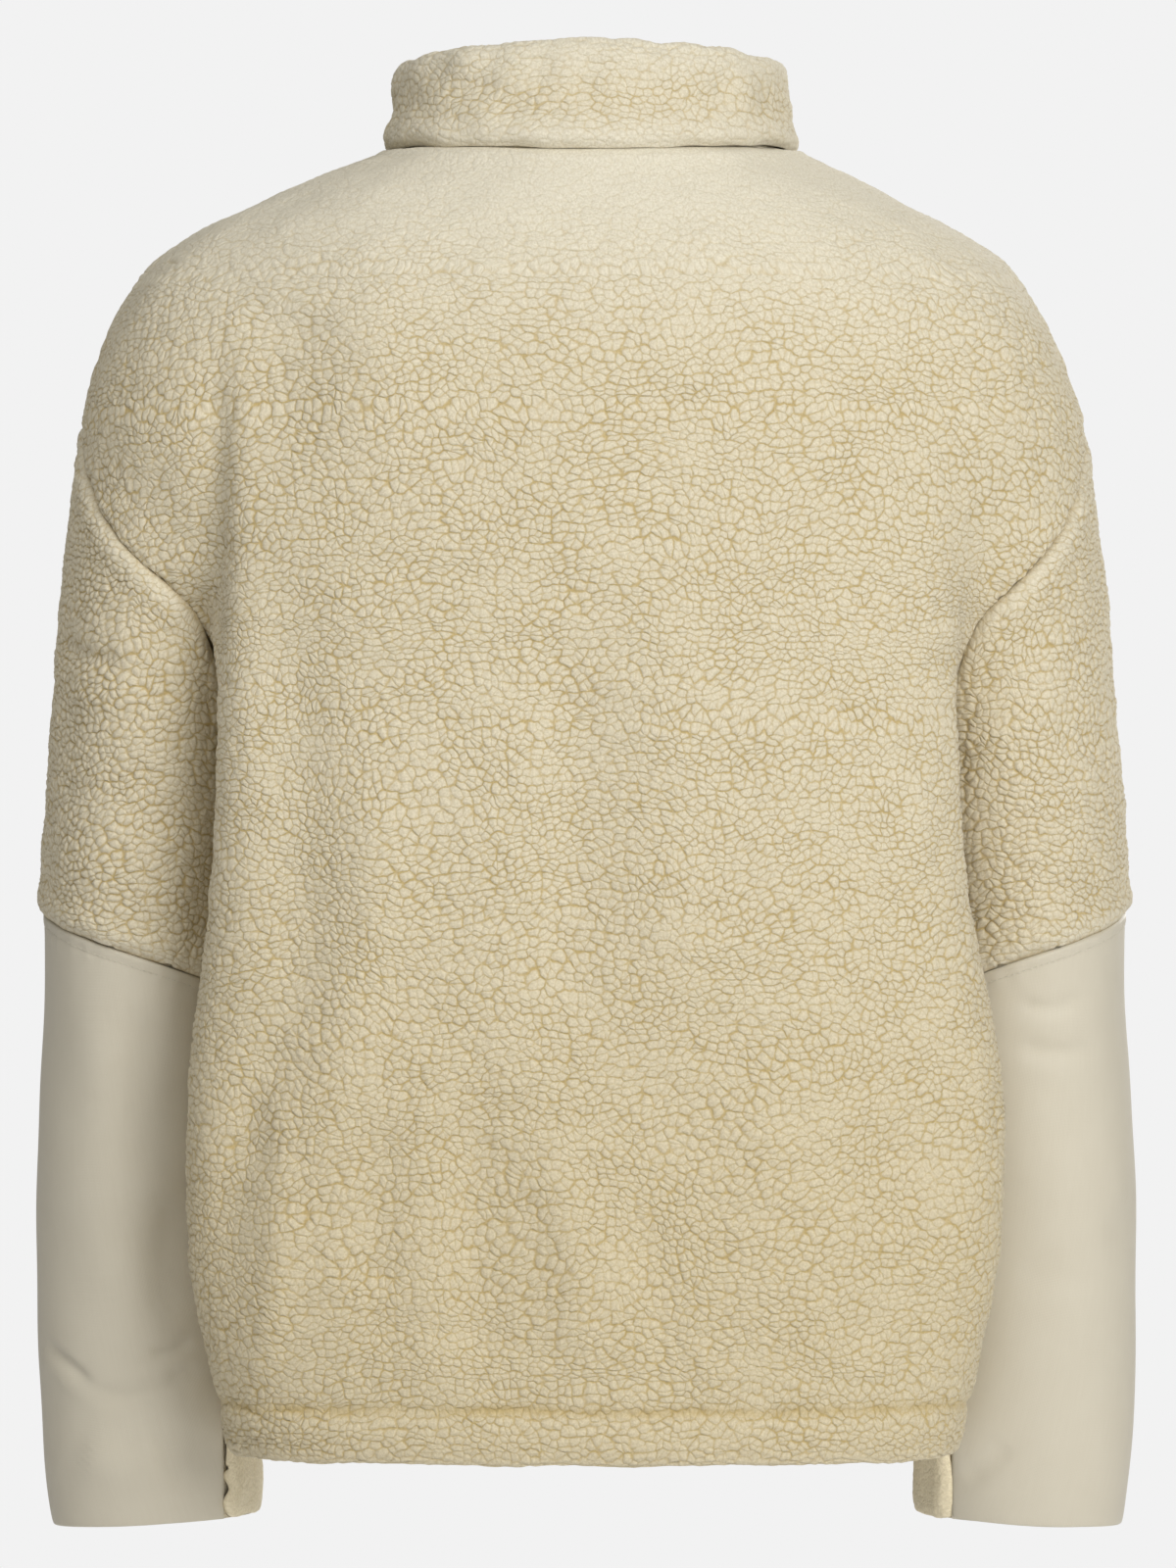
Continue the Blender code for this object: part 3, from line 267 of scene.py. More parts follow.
# The photograph's frame
PHOTO_TALL = 1600
METRES_PER_PIXEL = 0.5 * MM
PICTURE_PLANE = -0.04  # where that scale holds
CAMERA_AWAY, CAMERA_HIGH = 4.0, -0.3143
FLOOR_HIGH, FLOOR_COLOUR = -1.25, (0.82, 0.82, 0.82, 1)
BACKDROP, AROUND, AROUND_STRENGTH = (0.888, 0.888, 0.888, 1), (1.0, 0.985, 0.95, 1), 0.27
LIGHTS = (  # name, place, target, size, watts
    ("key", (-1.7, 3.3, 0.7), (0, 0, -0.35), 2.2, 86),
    ("top", (0.9, 1.6, 2.3), (0, 0, -0.1), 1.6, 24),
    ("fill", (-0.3, 3.6, -1.0), (0, 0, -0.45), 2.4, 8),
    ("front", (-1.2, -3.0, 0.8), (0, 0, -0.3), 2.2, 68),
)

FLEECE_NODES = (
    "back_panel", "front_left", "front_right", "collar", "sleeve_upper_left", "sleeve_upper_right",
    "forearm_strip_left", "forearm_strip_right",
)
WOVEN_NODES = ("forearm_woven_left", "forearm_woven_right")


# ---------------------------------------------------------------- nodes of materials and geometry

def add(tree, kind, inputs=None, **settings):
    """A node with its settings, and its inputs linked or set."""
    node = tree.nodes.new(kind)
    for name, value in settings.items():
        setattr(node, name, value)
    for name, value in (inputs or {}).items():
        join(tree, value, node.inputs[name])
    return node


def join(tree, value, socket):
    if isinstance(value, bpy.types.NodeSocket):
        tree.links.new(value, socket)
    else:
        socket.default_value = value


def reckon(tree, operation, *values, clamp=False):
    node = add(tree, "ShaderNodeMath", dict(enumerate(values)), operation=operation, use_clamp=clamp)
    return node.outputs[0]


def vector(tree, operation, *values):
    return add(tree, "ShaderNodeVectorMath", dict(enumerate(values)), operation=operation).outputs[0]


def scaled(tree, value, factor):
    node = add(tree, "ShaderNodeVectorMath", {0: value, "Scale": factor}, operation="SCALE")
    return node.outputs[0]


def ramp(tree, value, low, high):
    """Nought at low and below, one at high and above."""
    node = add(tree, "ShaderNodeMapRange", {"Value": value, "From Min": low, "From Max": high},
               interpolation_type="SMOOTHSTEP")
    return node.outputs["Result"]


def noise(tree, place, size, detail=2.0, rough=0.5, flat=True):
    """Soft noise whose lumps are about that size, in metres."""
    return add(tree, "ShaderNodeTexNoise",
               {"Vector": place, "Scale": 1 / size, "Detail": detail, "Roughness": rough},
               noise_dimensions="2D" if flat else "3D")


def waves(tree, place, scale, way, distortion, detail=2.0):
    """Even bands across the cloth, such as its threads make."""
    return add(tree, "ShaderNodeTexWave",
               {"Vector": place, "Scale": scale, "Distortion": distortion, "Detail": detail},
               bands_direction=way).outputs["Fac"]


def cells(tree, place, size, feature, uneven=0.92):
    return add(tree, "ShaderNodeTexVoronoi", {"Vector": place, "Scale": 1 / size, "Randomness": uneven},
               feature=feature, voronoi_dimensions="2D")


def mix_colours(tree, share, first, second):
    node = tree.nodes.new("ShaderNodeMix")
    node.data_type = "RGBA"
    for index, value in ((0, share), (6, first), (7, second)):
        join(tree, value, node.inputs[index])
    return node.outputs[2]


def curls(tree, flat):
    """The pile at a place in the flat cloth: how high its curl stands there, from nought in a crack to one,
    how far the nearest crack is, in parts of a curl, how deep that crack is, and how tall this curl is."""
    place = flat
    for size, reach in CURL_WANDERS:
        stray = vector(tree, "SUBTRACT", noise(tree, flat, size, 0.0).outputs["Color"], (0.5, 0.5, 0.5))
        place = vector(tree, "ADD", place, scaled(tree, stray, reach))
    place = vector(tree, "MULTIPLY", place, (1, CURL_WIDER, 1))
    crack = cells(tree, place, CURL, "DISTANCE_TO_EDGE").outputs["Distance"]
    own = cells(tree, place, CURL, "F1")
    next_to = cells(tree, place, CURL, "F2")
    group, other = (cells(tree, curl.outputs["Position"], CURL * CURL_GROUP, "F1", 1.0).outputs["Color"]
                    for curl in (own, next_to))
    parted = add(tree, "ShaderNodeVectorMath", {0: group, 1: other}, operation="DISTANCE").outputs["Value"]
    parted = reckon(tree, "GREATER_THAN", parted, 0.02)
    between = vector(tree, "SUBTRACT", own.outputs["Position"], next_to.outputs["Position"])
    upright = add(tree, "ShaderNodeSeparateXYZ", {0: vector(tree, "NORMALIZE", between)}).outputs[1]
    level = reckon(tree, "MULTIPLY", reckon(tree, "ABSOLUTE", upright), CRACK_LEVEL)
    change = noise(tree, flat, CRACK_CHANGE_WIDE, 1.0).outputs["Fac"]
    change = reckon(tree, "MULTIPLY_ADD", change, CRACK_CHANGE, CRACK_LEAST)
    deep = reckon(tree, "MULTIPLY_ADD", parted, CRACK_PARTED, reckon(tree, "ADD", change, level), clamp=True)
    inward = reckon(tree, "SUBTRACT", 0.5, own.outputs["Distance"])
    crack = reckon(tree, "MULTIPLY_ADD", inward, CRACK_ROUND, crack)
    away = reckon(tree, "SUBTRACT", 1.0, reckon(tree, "DIVIDE", crack, CRACK_WIDE, clamp=True))
    side = reckon(tree, "POWER", away, CRACK_STEEP)
    pillow = reckon(tree, "SUBTRACT", 1.0, reckon(tree, "MULTIPLY", deep, side))
    family = "Shader" if tree.bl_idname == "ShaderNodeTree" else "Function"
    tall = add(tree, family + "NodeSeparateColor", {"Color": own.outputs["Color"]}).outputs[0]
    return pillow, crack, deep, tall


# ---------------------------------------------------------------- materials

def new_material(name, colour, roughness, **more):
    """A material whose shader's own sockets hold what is the same all over."""
    material = bpy.data.materials.new(name)
    material.use_nodes = True
    shader = material.node_tree.nodes["Principled BSDF"]
    shader.inputs["Base Color"].default_value = colour
    shader.inputs["Roughness"].default_value = roughness
    for socket, value in more.items():
        shader.inputs[socket.replace("_", " ")].default_value = value
    return material, material.node_tree, shader


def bumped(tree, shader, height, distance, strength=1.0):
    bump = add(tree, "ShaderNodeBump", {"Height": height, "Distance": distance, "Strength": strength})
    tree.links.new(bump.outputs["Normal"], shader.inputs["Normal"])


def kept(tree, name, vectors=False):
    """A number or vector stored on the sheet's points."""
    return add(tree, "ShaderNodeAttribute", attribute_name=name).outputs["Vector" if vectors else "Fac"]


def pile_material():
    material, tree, shader = new_material(
        "pile", PILE_TOP, 0.95, Sheen_Weight=0.25, Sheen_Roughness=0.5, Sheen_Tint=PILE_SHEEN,
        Specular_IOR_Level=0.1)
    flat, crisp, seam = kept(tree, "flat", True), kept(tree, "crisp"), kept(tree, "seam_shade")
    pillow, crack, deep, tall = curls(tree, flat)
    # crack lines: the roots' ochre, partly real colour and partly painted shade in the cracks
    line = reckon(tree, "SUBTRACT", 1.0, ramp(tree, crack, -0.02, 0.18))
    line = reckon(tree, "MULTIPLY", line, reckon(tree, "MULTIPLY", deep, crisp))
    # brushed pile where the curls are soft, its lighter colour painted light on the shoulders
    base = mix_colours(tree, crisp, PILE_SOFT_LIT, PILE_TOP)
    # painted shade: darker towards the hem
    base = mix_colours(tree, kept(tree, "below"), base, PILE_HEM_SHADE)
    # painted shade: darker down each curl's sides towards its cracks, and on the shorter curls
    low = reckon(tree, "MULTIPLY", reckon(tree, "SUBTRACT", 1.0, pillow), crisp)
    base = mix_colours(tree, reckon(tree, "MULTIPLY_ADD", tall, -0.25, low, clamp=True), base, PILE_CURL_SHADE)
    base = mix_colours(tree, reckon(tree, "MULTIPLY", line, 0.85, clamp=True), base, PILE_CRACK_SHADE)
    # painted shade in the seam grooves and in the hem's stitch groove
    base = mix_colours(tree, reckon(tree, "MULTIPLY", seam, 0.7, clamp=True), base, PILE_CRACK_SHADE)
    # worn-down strip pile, lightened as painted light on the lit cuffs
    base = mix_colours(tree, kept(tree, "felt_lit"), base, FELT_LIT)
    wool = noise(tree, flat, 1.3 * MM, 4, 0.75).outputs["Fac"]
    mottled = mix_colours(tree, ramp(tree, wool, 0.36, 0.66), FLECK_DARK, FLECK_LIGHT)
    fleck = add(tree, "ShaderNodeVectorMath", {0: base, 1: mottled}, operation="MULTIPLY").outputs[0]
    tree.links.new(fleck, shader.inputs["Base Color"])
    height = reckon(tree, "MULTIPLY", pillow, reckon(tree, "MULTIPLY_ADD", crisp, 0.75, 0.25))
    height = reckon(tree, "MULTIPLY_ADD", wool, 0.42, height)
    bumped(tree, shader, height, 0.65 * MM)
    return material


def ground_material():
    """The knitted back of the fleece: short stitches in fine upright rows."""
    material, tree, shader = new_material("knit_ground", GROUND, 0.9, Sheen_Weight=0.2)
    flat = kept(tree, "flat", True)
    rows, loops = waves(tree, flat, 160.0, "X", 1.0, 1.0), waves(tree, flat, 200.0, "Y", 2.0, 1.0)
    stitches = reckon(tree, "MULTIPLY", rows, loops)
    mottle = noise(tree, flat, 14 * MM, 3).outputs["Fac"]
    colour = mix_colours(tree, mottle, GROUND, GROUND_DARK)
    colour = mix_colours(tree, reckon(tree, "MULTIPLY", stitches, 0.35), colour, GROUND_LOOP)
    tree.links.new(colour, shader.inputs["Base Color"])
    bumped(tree, shader, stitches, 0.4 * MM)
    return material


def woven_material():
    """A tight plain weave with a soft sheen, its warp threads a little uneven."""
    material, tree, shader = new_material(
        "woven", WOVEN, 0.5, Sheen_Weight=0.1, Sheen_Roughness=0.4, Specular_IOR_Level=0.35)
    flat = kept(tree, "flat", True)
    weave = reckon(tree, "ADD", *(waves(tree, flat, 400.0, way, 0.5) for way in "XY"))
    threads = noise(tree, vector(tree, "MULTIPLY", flat, (1, 0.05, 1)), 1.2 * MM, 3).outputs["Fac"]
    soft = noise(tree, flat, 24 * MM, 2).outputs["Fac"]
    tone = reckon(tree, "MULTIPLY_ADD", threads, 0.5, reckon(tree, "MULTIPLY", soft, 0.5))
    tree.links.new(mix_colours(tree, tone, WOVEN_DARK, WOVEN), shader.inputs["Base Color"])
    height = reckon(tree, "MULTIPLY_ADD", weave, 0.10, reckon(tree, "MULTIPLY", soft, 1.2))
    bumped(tree, shader, height, 0.35 * MM, 0.6)
    return material


def plain_material(name, colour, roughness, lump, depth, **more):
    """A small part's material, with its colour and surface a little uneven at the size of its grain."""
    material, tree, shader = new_material(name, colour, roughness, **more)
    place = add(tree, "ShaderNodeTexCoord").outputs["Object"]
    grain = noise(tree, place, lump, 3, flat=False).outputs["Fac"]
    darker = tuple(0.82 * part for part in colour[:3]) + (1,)
    tree.links.new(mix_colours(tree, grain, darker, colour), shader.inputs["Base Color"])
    bumped(tree, shader, grain, depth)
    return material


def tape_material():
    """Zip tape: a fine twill, its ridges running aslant."""
    material, tree, shader = new_material("zip_tape", TAPE, 0.85, Sheen_Weight=0.15)
    place = add(tree, "ShaderNodeTexCoord").outputs["Object"]
    twill = waves(tree, place, 260.0, "DIAGONAL", 0.3)
    tree.links.new(mix_colours(tree, twill, TAPE_DARK, TAPE), shader.inputs["Base Color"])
    bumped(tree, shader, twill, 0.25 * MM)
    return material


# ---------------------------------------------------------------- objects and numbers on sheets

def placed(name, data):
    """A new object of the scene that shows this data."""
    thing = bpy.data.objects.new(name, data)
    bpy.context.collection.objects.link(thing)
    return thing


def editable(mesh):
    bm = bmesh.new()
    bm.from_mesh(mesh)
    return bm


def into_mesh(bm, mesh):
    bm.to_mesh(mesh)
    bm.free()
    return mesh


def points_of(mesh):
    points = np.empty(len(mesh.vertices) * 3, np.float32)
    mesh.vertices.foreach_get("co", points)
    return points.reshape(-1, 3).astype(float)


def set_points(mesh, points):
    mesh.vertices.foreach_set("co", points.astype(np.float32).ravel())
    mesh.update()


def normals_of(mesh):
    normals = np.empty(len(mesh.vertices) * 3, np.float32)
    mesh.vertices.foreach_get("normal", normals)
    return normals.reshape(-1, 3).astype(float)


def store(mesh, name, values):
    """Keep a number or a vector for each point, for the materials and the raising of the pile."""
    kind = "FLOAT_VECTOR" if values.ndim == 2 else "FLOAT"
    layer = mesh.attributes.get(name) or mesh.attributes.new(name, kind, "POINT")
    layer.data.foreach_set("vector" if values.ndim == 2 else "value", values.astype(np.float32).ravel())


def stored(mesh, name):
    layer = mesh.attributes[name]
    wide = 3 if layer.data_type == "FLOAT_VECTOR" else 1
    values = np.empty(len(mesh.vertices) * wide, np.float32)
    layer.data.foreach_get("vector" if wide == 3 else "value", values)
    return values.reshape(-1, 3).astype(float) if wide == 3 else values.astype(float)


def bell(values, middle, wide):
    return np.exp(-(((values - middle) / wide) ** 2))


def smooth_step(t):
    t = np.clip(t, 0, 1)
    return t * t * (3 - 2 * t)


def below(points, band):
    """How far below a band of heights each point is: nought above the band, one under it."""
    return smooth_step((band[0] - points[:, 2]) / band[1])


def to_nearest(points, targets):
    """How far each point is from the nearest target, and which one that is."""
    if not len(targets):
        return np.full(len(points), 1.0), np.zeros(len(points), int)
    tree = KDTree(len(targets))
    for index, target in enumerate(targets):
        tree.insert(target, index)
    tree.balance()
    found = [tree.find(point) for point in points]
    return np.array([item[2] for item in found]), np.array([item[1] for item in found])


def undulation(points, size, seed):
    """Slow, smooth unevenness from about minus one to one, made of a few waves across space."""
    random = np.random.default_rng(seed)
    total = np.zeros(len(points))
    for _ in range(7):
        way = random.normal(size=3)
        way /= np.linalg.norm(way)
        turns = points @ way / (size * random.uniform(0.7, 1.5)) + random.uniform(0, 1)
        total += np.sin(2 * math.pi * turns)
    return total / 3.5


# ---------------------------------------------------------------- sheets from the solids

def welded(node):
    """The node's own solid, its corners welded, for cutting into sheets."""
    bm = editable(frame["nodes"][node].data)
    bmesh.ops.remove_doubles(bm, verts=bm.verts, dist=0.02 * MM)
    bmesh.ops.dissolve_degenerate(bm, edges=bm.edges, dist=0.01 * MM)
    return bm


def smooth_regions(bm, sharp):
    """Groups of faces that no sharp edge parts, the largest in area first."""
    left = set(bm.faces)
    groups = []
    while left:
        waiting = [left.pop()]
        group = []
        while waiting:
            face = waiting.pop()
            group.append(face)
            for other in (other for edge in face.edges if edge.calc_face_angle(0) < sharp
                          for other in edge.link_faces):
                if other in left:
                    left.remove(other)
                    waiting.append(other)
        groups.append(group)
    return sorted(groups, key=lambda group: -sum(face.calc_area() for face in group))


def joined_to(first, faces):
    """The faces that hang together with the first one."""
    found, waiting = {first}, [first]
    while waiting:
        for edge in waiting.pop().edges:
            for other in edge.link_faces:
                if other in faces and other not in found:
                    found.add(other)
                    waiting.append(other)
    return found


def split_solid(node, bm):
    """The solid's faces by what they become: the outer sheet, with the edges where the pile turns in at an
    opening, the inner sheet, and the insides of its seams, which neither sheet has."""
    regions = smooth_regions(bm, SHARP)
    outer, inner = (set(), set()) if node == "collar" else (set(regions[0]), set(regions[1]))
    inside_seam = set()
    for face in bm.faces:
        if face in outer or face in inner:
            continue
        middle = face.calc_center_median()
        near = (tree.find_nearest(middle, TOUCHING)[1] for name, tree in solid_trees.items() if name != node)
        if any(normal is not None and normal.dot(face.normal) < OPPOSED for normal in near):
            inside_seam.add(face)
        else:
            outer.add(face)
    hem_facing = {face for face in inner if node in ("back_panel", "front_left", "front_right")
                  and max(vert.co.z for vert in face.verts) < HEM_STITCH + 1.5 * MM}
    outer |= hem_facing
    inner -= hem_facing
    attached = joined_to(max(outer, key=lambda face: face.calc_area()), outer)
    return attached, inner, inside_seam | (outer - attached)


def mark_border(bm, keep, inside_seam, other_side):
    """Note on the points which border lies at a seam, which at the other sheet, and which way a seam's face
    runs into the cloth."""
    at_seam = bm.verts.layers.float.new("at_seam")
    at_other = bm.verts.layers.float.new("at_other")
    seam_way = bm.verts.layers.float_vector.new("seam_way")
    far_side = list({vert for face in other_side for vert in face.verts})
    tree = KDTree(max(1, len(far_side)))
    for index, vert in enumerate(far_side):
        tree.insert(vert.co, index)
    tree.balance()
    for edge in bm.edges:
        kinds = [face in keep for face in edge.link_faces]
        if all(kinds) or not any(kinds):
            continue
        beyond = next(face for face in edge.link_faces if face not in keep)
        for vert in edge.verts:
            if beyond in inside_seam:
                vert[at_seam] = 1.0
                across = tree.find(vert.co)[0] - vert.co if far_side else Vector()
                if 0.3 * MM < across.length < 2.2 * FLEECE:
                    vert[seam_way] = across.normalized()
            else:
                vert[at_other] = 1.0


def open_tube(bm, node):
    """Cut a tube of cloth open along the side that faces the body, where a sleeve's own seam runs."""
    side = 1 if "left" in node else -1
    borders = [vert for vert in bm.verts if vert.is_boundary]
    middle = sum((vert.co for vert in borders), Vector()) / len(borders)
    upper = [vert for vert in borders if vert.co.z > middle.z]
    lower = [vert for vert in borders if vert.co.z <= middle.z]
    start = min(upper, key=lambda vert: vert.co.z)
    goal = min(lower, key=lambda vert: (vert.co - start.co).xy.length + side * vert.co.x)
    best, came, waiting = {start: 0.0}, {}, [(0.0, 0, start)]
    count = 0
    while waiting:
        cost, _, vert = heapq.heappop(waiting)
        if vert is goal:
            break
        for edge in vert.link_edges:
            other = edge.other_vert(vert)
            far = cost + edge.calc_length() * (3 if edge.is_boundary else 1)
            if far < best.get(other, math.inf):
                best[other], came[other] = far, (vert, edge)
                count += 1
                heapq.heappush(waiting, (far, count, other))
    path = []
    vert = goal
    while vert is not start:
        vert, edge = came[vert]
        path.append(edge)
    bmesh.ops.split_edges(bm, edges=path)


def at_collar_end(edge):
    """Whether an edge is where the collar's inside meets one of its two ends at the zip."""
    middle = (edge.verts[0].co + edge.verts[1].co) / 2
    across = [face.normal for face in edge.link_faces if abs(face.normal.x) > 0.7]
    others = [face.normal for face in edge.link_faces if abs(face.normal.x) <= 0.7]
    at_zip = middle.y < 0 and abs(middle.x) < 12 * MM
    return at_zip and len(across) == 1 and len(others) == 1 and others[0].y > 0.3


def lay_flat(thing):
    """Store on each point its place in the flat cloth, in metres. The second number rises with height."""
    bpy.ops.object.select_all(action="DESELECT")
    bpy.context.view_layer.objects.active = thing
    thing.select_set(True)
    bpy.ops.object.mode_set(mode="EDIT")
    bpy.ops.mesh.select_all(action="SELECT")
    bpy.ops.uv.unwrap(method="ANGLE_BASED", margin=0.0)
    bpy.ops.object.mode_set(mode="OBJECT")
    mesh = thing.data
    places = np.empty(len(mesh.loops) * 2, np.float32)
    mesh.uv_layers.active.data.foreach_get("uv", places)
    corners = np.empty(len(mesh.loops), np.int32)
    mesh.loops.foreach_get("vertex_index", corners)
    flat = np.zeros((len(mesh.vertices), 2))
    flat[corners] = places.reshape(-1, 2)
    points = points_of(mesh)
    ends = np.empty(len(mesh.edges) * 2, np.int32)
    mesh.edges.foreach_get("vertices", ends)
    a, b = ends.reshape(-1, 2).T
    real, laid = (np.linalg.norm(some[a] - some[b], axis=1) for some in (points, flat))
    flat = (flat - flat.mean(axis=0)) * np.median(real / laid)
    rise = np.linalg.lstsq(flat, points[:, 2] - points[:, 2].mean(), rcond=None)[0]
    rise /= np.linalg.norm(rise)
    turned = np.column_stack((flat @ (rise[1], -rise[0]), flat @ rise, np.zeros(len(flat))))
    store(mesh, "flat", turned)


def lay_collar_flat(thing):
    """The collar's flat places: how far round its ring, and how far up its outside, over its top and down."""
    points, normals = points_of(thing.data), normals_of(thing.data)
    middle = (points.max(axis=0) + points.min(axis=0)) / 2
    from_middle = points[:, :2] - middle[:2]
    turn = np.arctan2(from_middle[:, 0], from_middle[:, 1])
    bins = np.linspace(-math.pi, math.pi, COLLAR_PARTS + 1)
    where = np.clip(np.digitize(turn, bins) - 1, 0, COLLAR_PARTS - 1)
    used = np.unique(where)
    ring = np.array([points[where == one, :2].mean(axis=0) for one in used])
    top = np.array([points[where == one, 2].max() for one in used])
    far = np.concatenate(([0], np.cumsum(np.linalg.norm(np.diff(ring, axis=0), axis=1))))
    centres = (bins[:-1] + bins[1:])[used] / 2
    highest = np.interp(turn, centres, top)
    out = from_middle / np.linalg.norm(from_middle, axis=1)[:, None]
    facing = np.clip(2.5 * (normals[:, :2] * out).sum(axis=1), -1, 1)
    up = highest + (points[:, 2] - highest) * facing
    round_it = np.interp(turn, centres, far) - far[-1] / 2
    store(thing.data, "flat", np.column_stack((round_it, up, 0 * up)))


def settle(thing):
    """Its modifiers' result becomes its mesh."""
    graph = bpy.context.evaluated_depsgraph_get()
    mesh = bpy.data.meshes.new_from_object(thing.evaluated_get(graph))
    thing.modifiers.clear()
    thing.data = mesh


def as_sheet(node, faces, bm, levels):
    """Keep only these faces, and make them a smooth sheet that knows its flat places."""
    bmesh.ops.delete(bm, geom=[face for face in bm.faces if face not in faces], context="FACES")
    bmesh.ops.join_triangles(bm, faces=bm.faces, angle_face_threshold=math.radians(40),
                             angle_shape_threshold=math.radians(60))
    if node.startswith("sleeve_upper"):
        open_tube(bm, node)
    if node == "collar":
        bmesh.ops.split_edges(bm, edges=[edge for edge in bm.edges if at_collar_end(edge)])
    thing = placed(node + "_cut", into_mesh(bm, bpy.data.meshes.new(node)))
    lay_flat(thing)
    finer = thing.modifiers.new("finer", "SUBSURF")
    finer.levels = finer.render_levels = levels
    finer.boundary_smooth = "PRESERVE_CORNERS"
    settle(thing)
    if node == "collar":
        lay_collar_flat(thing)
    return thing


def cut_sheets(node):
    """The outer and inner sheets of a cloth solid. The collar is pile all over, so it has no inner one."""
    bm = welded(node)
    outer, inner, inside_seam = split_solid(node, bm)
    mark_border(bm, outer, inside_seam, inner)
    sheet = as_sheet(node, outer, bm, 3)
    if not inner:
        return sheet, None
    bm = welded(node)
    _, inner, inside_seam = split_solid(node, bm)
    return sheet, as_sheet(node, inner, bm, 2)


def split_long_edges(thing, longest):
    bm = editable(thing.data)
    long = [edge for edge in bm.edges if edge.calc_length() > longest]
    bmesh.ops.subdivide_edges(bm, edges=long, cuts=1, use_grid_fill=True)
    bmesh.ops.triangulate(bm, faces=bm.faces)
    into_mesh(bm, thing.data)


class Sheet:
    """A fine sheet's points, with how far each is from the sheet's seams. Where its seams are square to the
    cloth, the borders turn straight in."""

    def __init__(self, thing, square=False):
        self.mesh = thing.data
        self.points = points_of(self.mesh)
        self.normals = normals_of(self.mesh)
        bm = editable(self.mesh)
        border = np.array([vert.index for vert in bm.verts if vert.is_boundary], int)
        bm.free()
        self.seam = border[stored(self.mesh, "at_other")[border] < 0.5]
        self.to_seam, nearest = to_nearest(self.points, self.points[self.seam])
        way = stored(self.mesh, "seam_way")[self.seam]
        length = np.linalg.norm(way, axis=1)
        known = (length > 0.3) & (not square)
        self.way = np.where(known[:, None], way / np.maximum(length, 1e-6)[:, None], -self.normals[self.seam])
        lean = smooth_step(1 - self.to_seam / SEAM_LEAN)[:, None]
        outward = self.normals * (1 - lean) - self.way[nearest] * lean
        self.outward = outward / np.linalg.norm(outward, axis=1)[:, None]

    def add_rim(self, thing, deep):
        """Close each seam: turn the border in along the seam's own face, as deep as the cloth is thick."""
        foot = {int(i): self.points[i] + way * deep for i, way in zip(self.seam, self.way)}
        bm = editable(thing.data)
        border = [edge for edge in bm.edges if edge.is_boundary and all(v.index in foot for v in edge.verts)]
        index_at = {tuple(vert.co): vert.index for edge in border for vert in edge.verts}
        made = bmesh.ops.extrude_edge_only(bm, edges=border)["geom"]
        for vert in (item for item in made if isinstance(item, bmesh.types.BMVert)):
            vert.co = Vector(foot[index_at[tuple(vert.co)]])
        bm.normal_update()
        into_mesh(bm, thing.data)


# ---------------------------------------------------------------- the fleece

def raise_pile(thing):
    """Raise the sheet's curls along its outward direction, by Geometry Nodes, and keep the result."""
    tree = bpy.data.node_groups.new("raise_pile", "GeometryNodeTree")
    tree.interface.new_socket("Geometry", in_out="INPUT", socket_type="NodeSocketGeometry")
    tree.interface.new_socket("Geometry", in_out="OUTPUT", socket_type="NodeSocketGeometry")
    start, end = tree.nodes.new("NodeGroupInput"), tree.nodes.new("NodeGroupOutput")

    def own(name, kind):
        node = add(tree, "GeometryNodeInputNamedAttribute", data_type=kind)
        node.inputs["Name"].default_value = name
        return node.outputs["Attribute"]

    pillow, _, _, tall = curls(tree, own("flat", "FLOAT_VECTOR"))
    rise = reckon(tree, "SUBTRACT", reckon(tree, "MULTIPLY_ADD", tall, CURL_TALLER, pillow), CURL_FOOT)
    rise = reckon(tree, "MULTIPLY", rise, own("high", "FLOAT"))
    moved = add(tree, "GeometryNodeSetPosition",
                {"Geometry": start.outputs[0], "Offset": scaled(tree, own("outward", "FLOAT_VECTOR"), rise)})
    tree.links.new(moved.outputs[0], end.inputs[0])
    thing.modifiers.new("pile", "NODES").node_group = tree
    settle(thing)
    bpy.data.node_groups.remove(tree)


def crispness(node, points):
    """How deep and clear the curls are: brushed soft over the shoulders, full further down."""
    if node == "collar":
        behind = smooth_step((points[:, 1] + 0.03) / 0.03)
        return 0.28 + 0.5 * bell(points[:, 2], 0.026, 0.015) * behind + 0.4 * (1 - behind)
    if node.startswith("forearm_strip"):
        return 0.75 - 0.6 * below(points, CUFF_WORN)
    return 0.14 + 0.86 * below(points, SHOULDER_SOFT)


def seam_lift(sheet, points):
    """How far the cloth sinks into its seams and puffs up beside them, and what share of that holds there."""
    at_neck = smooth_step((points[:, 2] - NECK_BAND[0]) / NECK_BAND[1]) * (np.abs(points[:, 0]) < NECK_HALF)
    less = 1 - (1 - NECK_SINK) * at_neck
    lift = SEAM_PUFF * bell(sheet.to_seam, SEAM_PUFF_AT, SEAM_PUFF_WIDE) * less
    lift += NECK_PUFF * bell(sheet.to_seam, NECK_PUFF_AT, NECK_PUFF_WIDE) * at_neck
    return lift - SEAM_SINK * bell(sheet.to_seam, 0, SEAM_SINK_WIDE) * less, less


def fold_part(node):
    return FOREARM if node.startswith("forearm") else SLEEVE if node.startswith("sleeve") else BODY


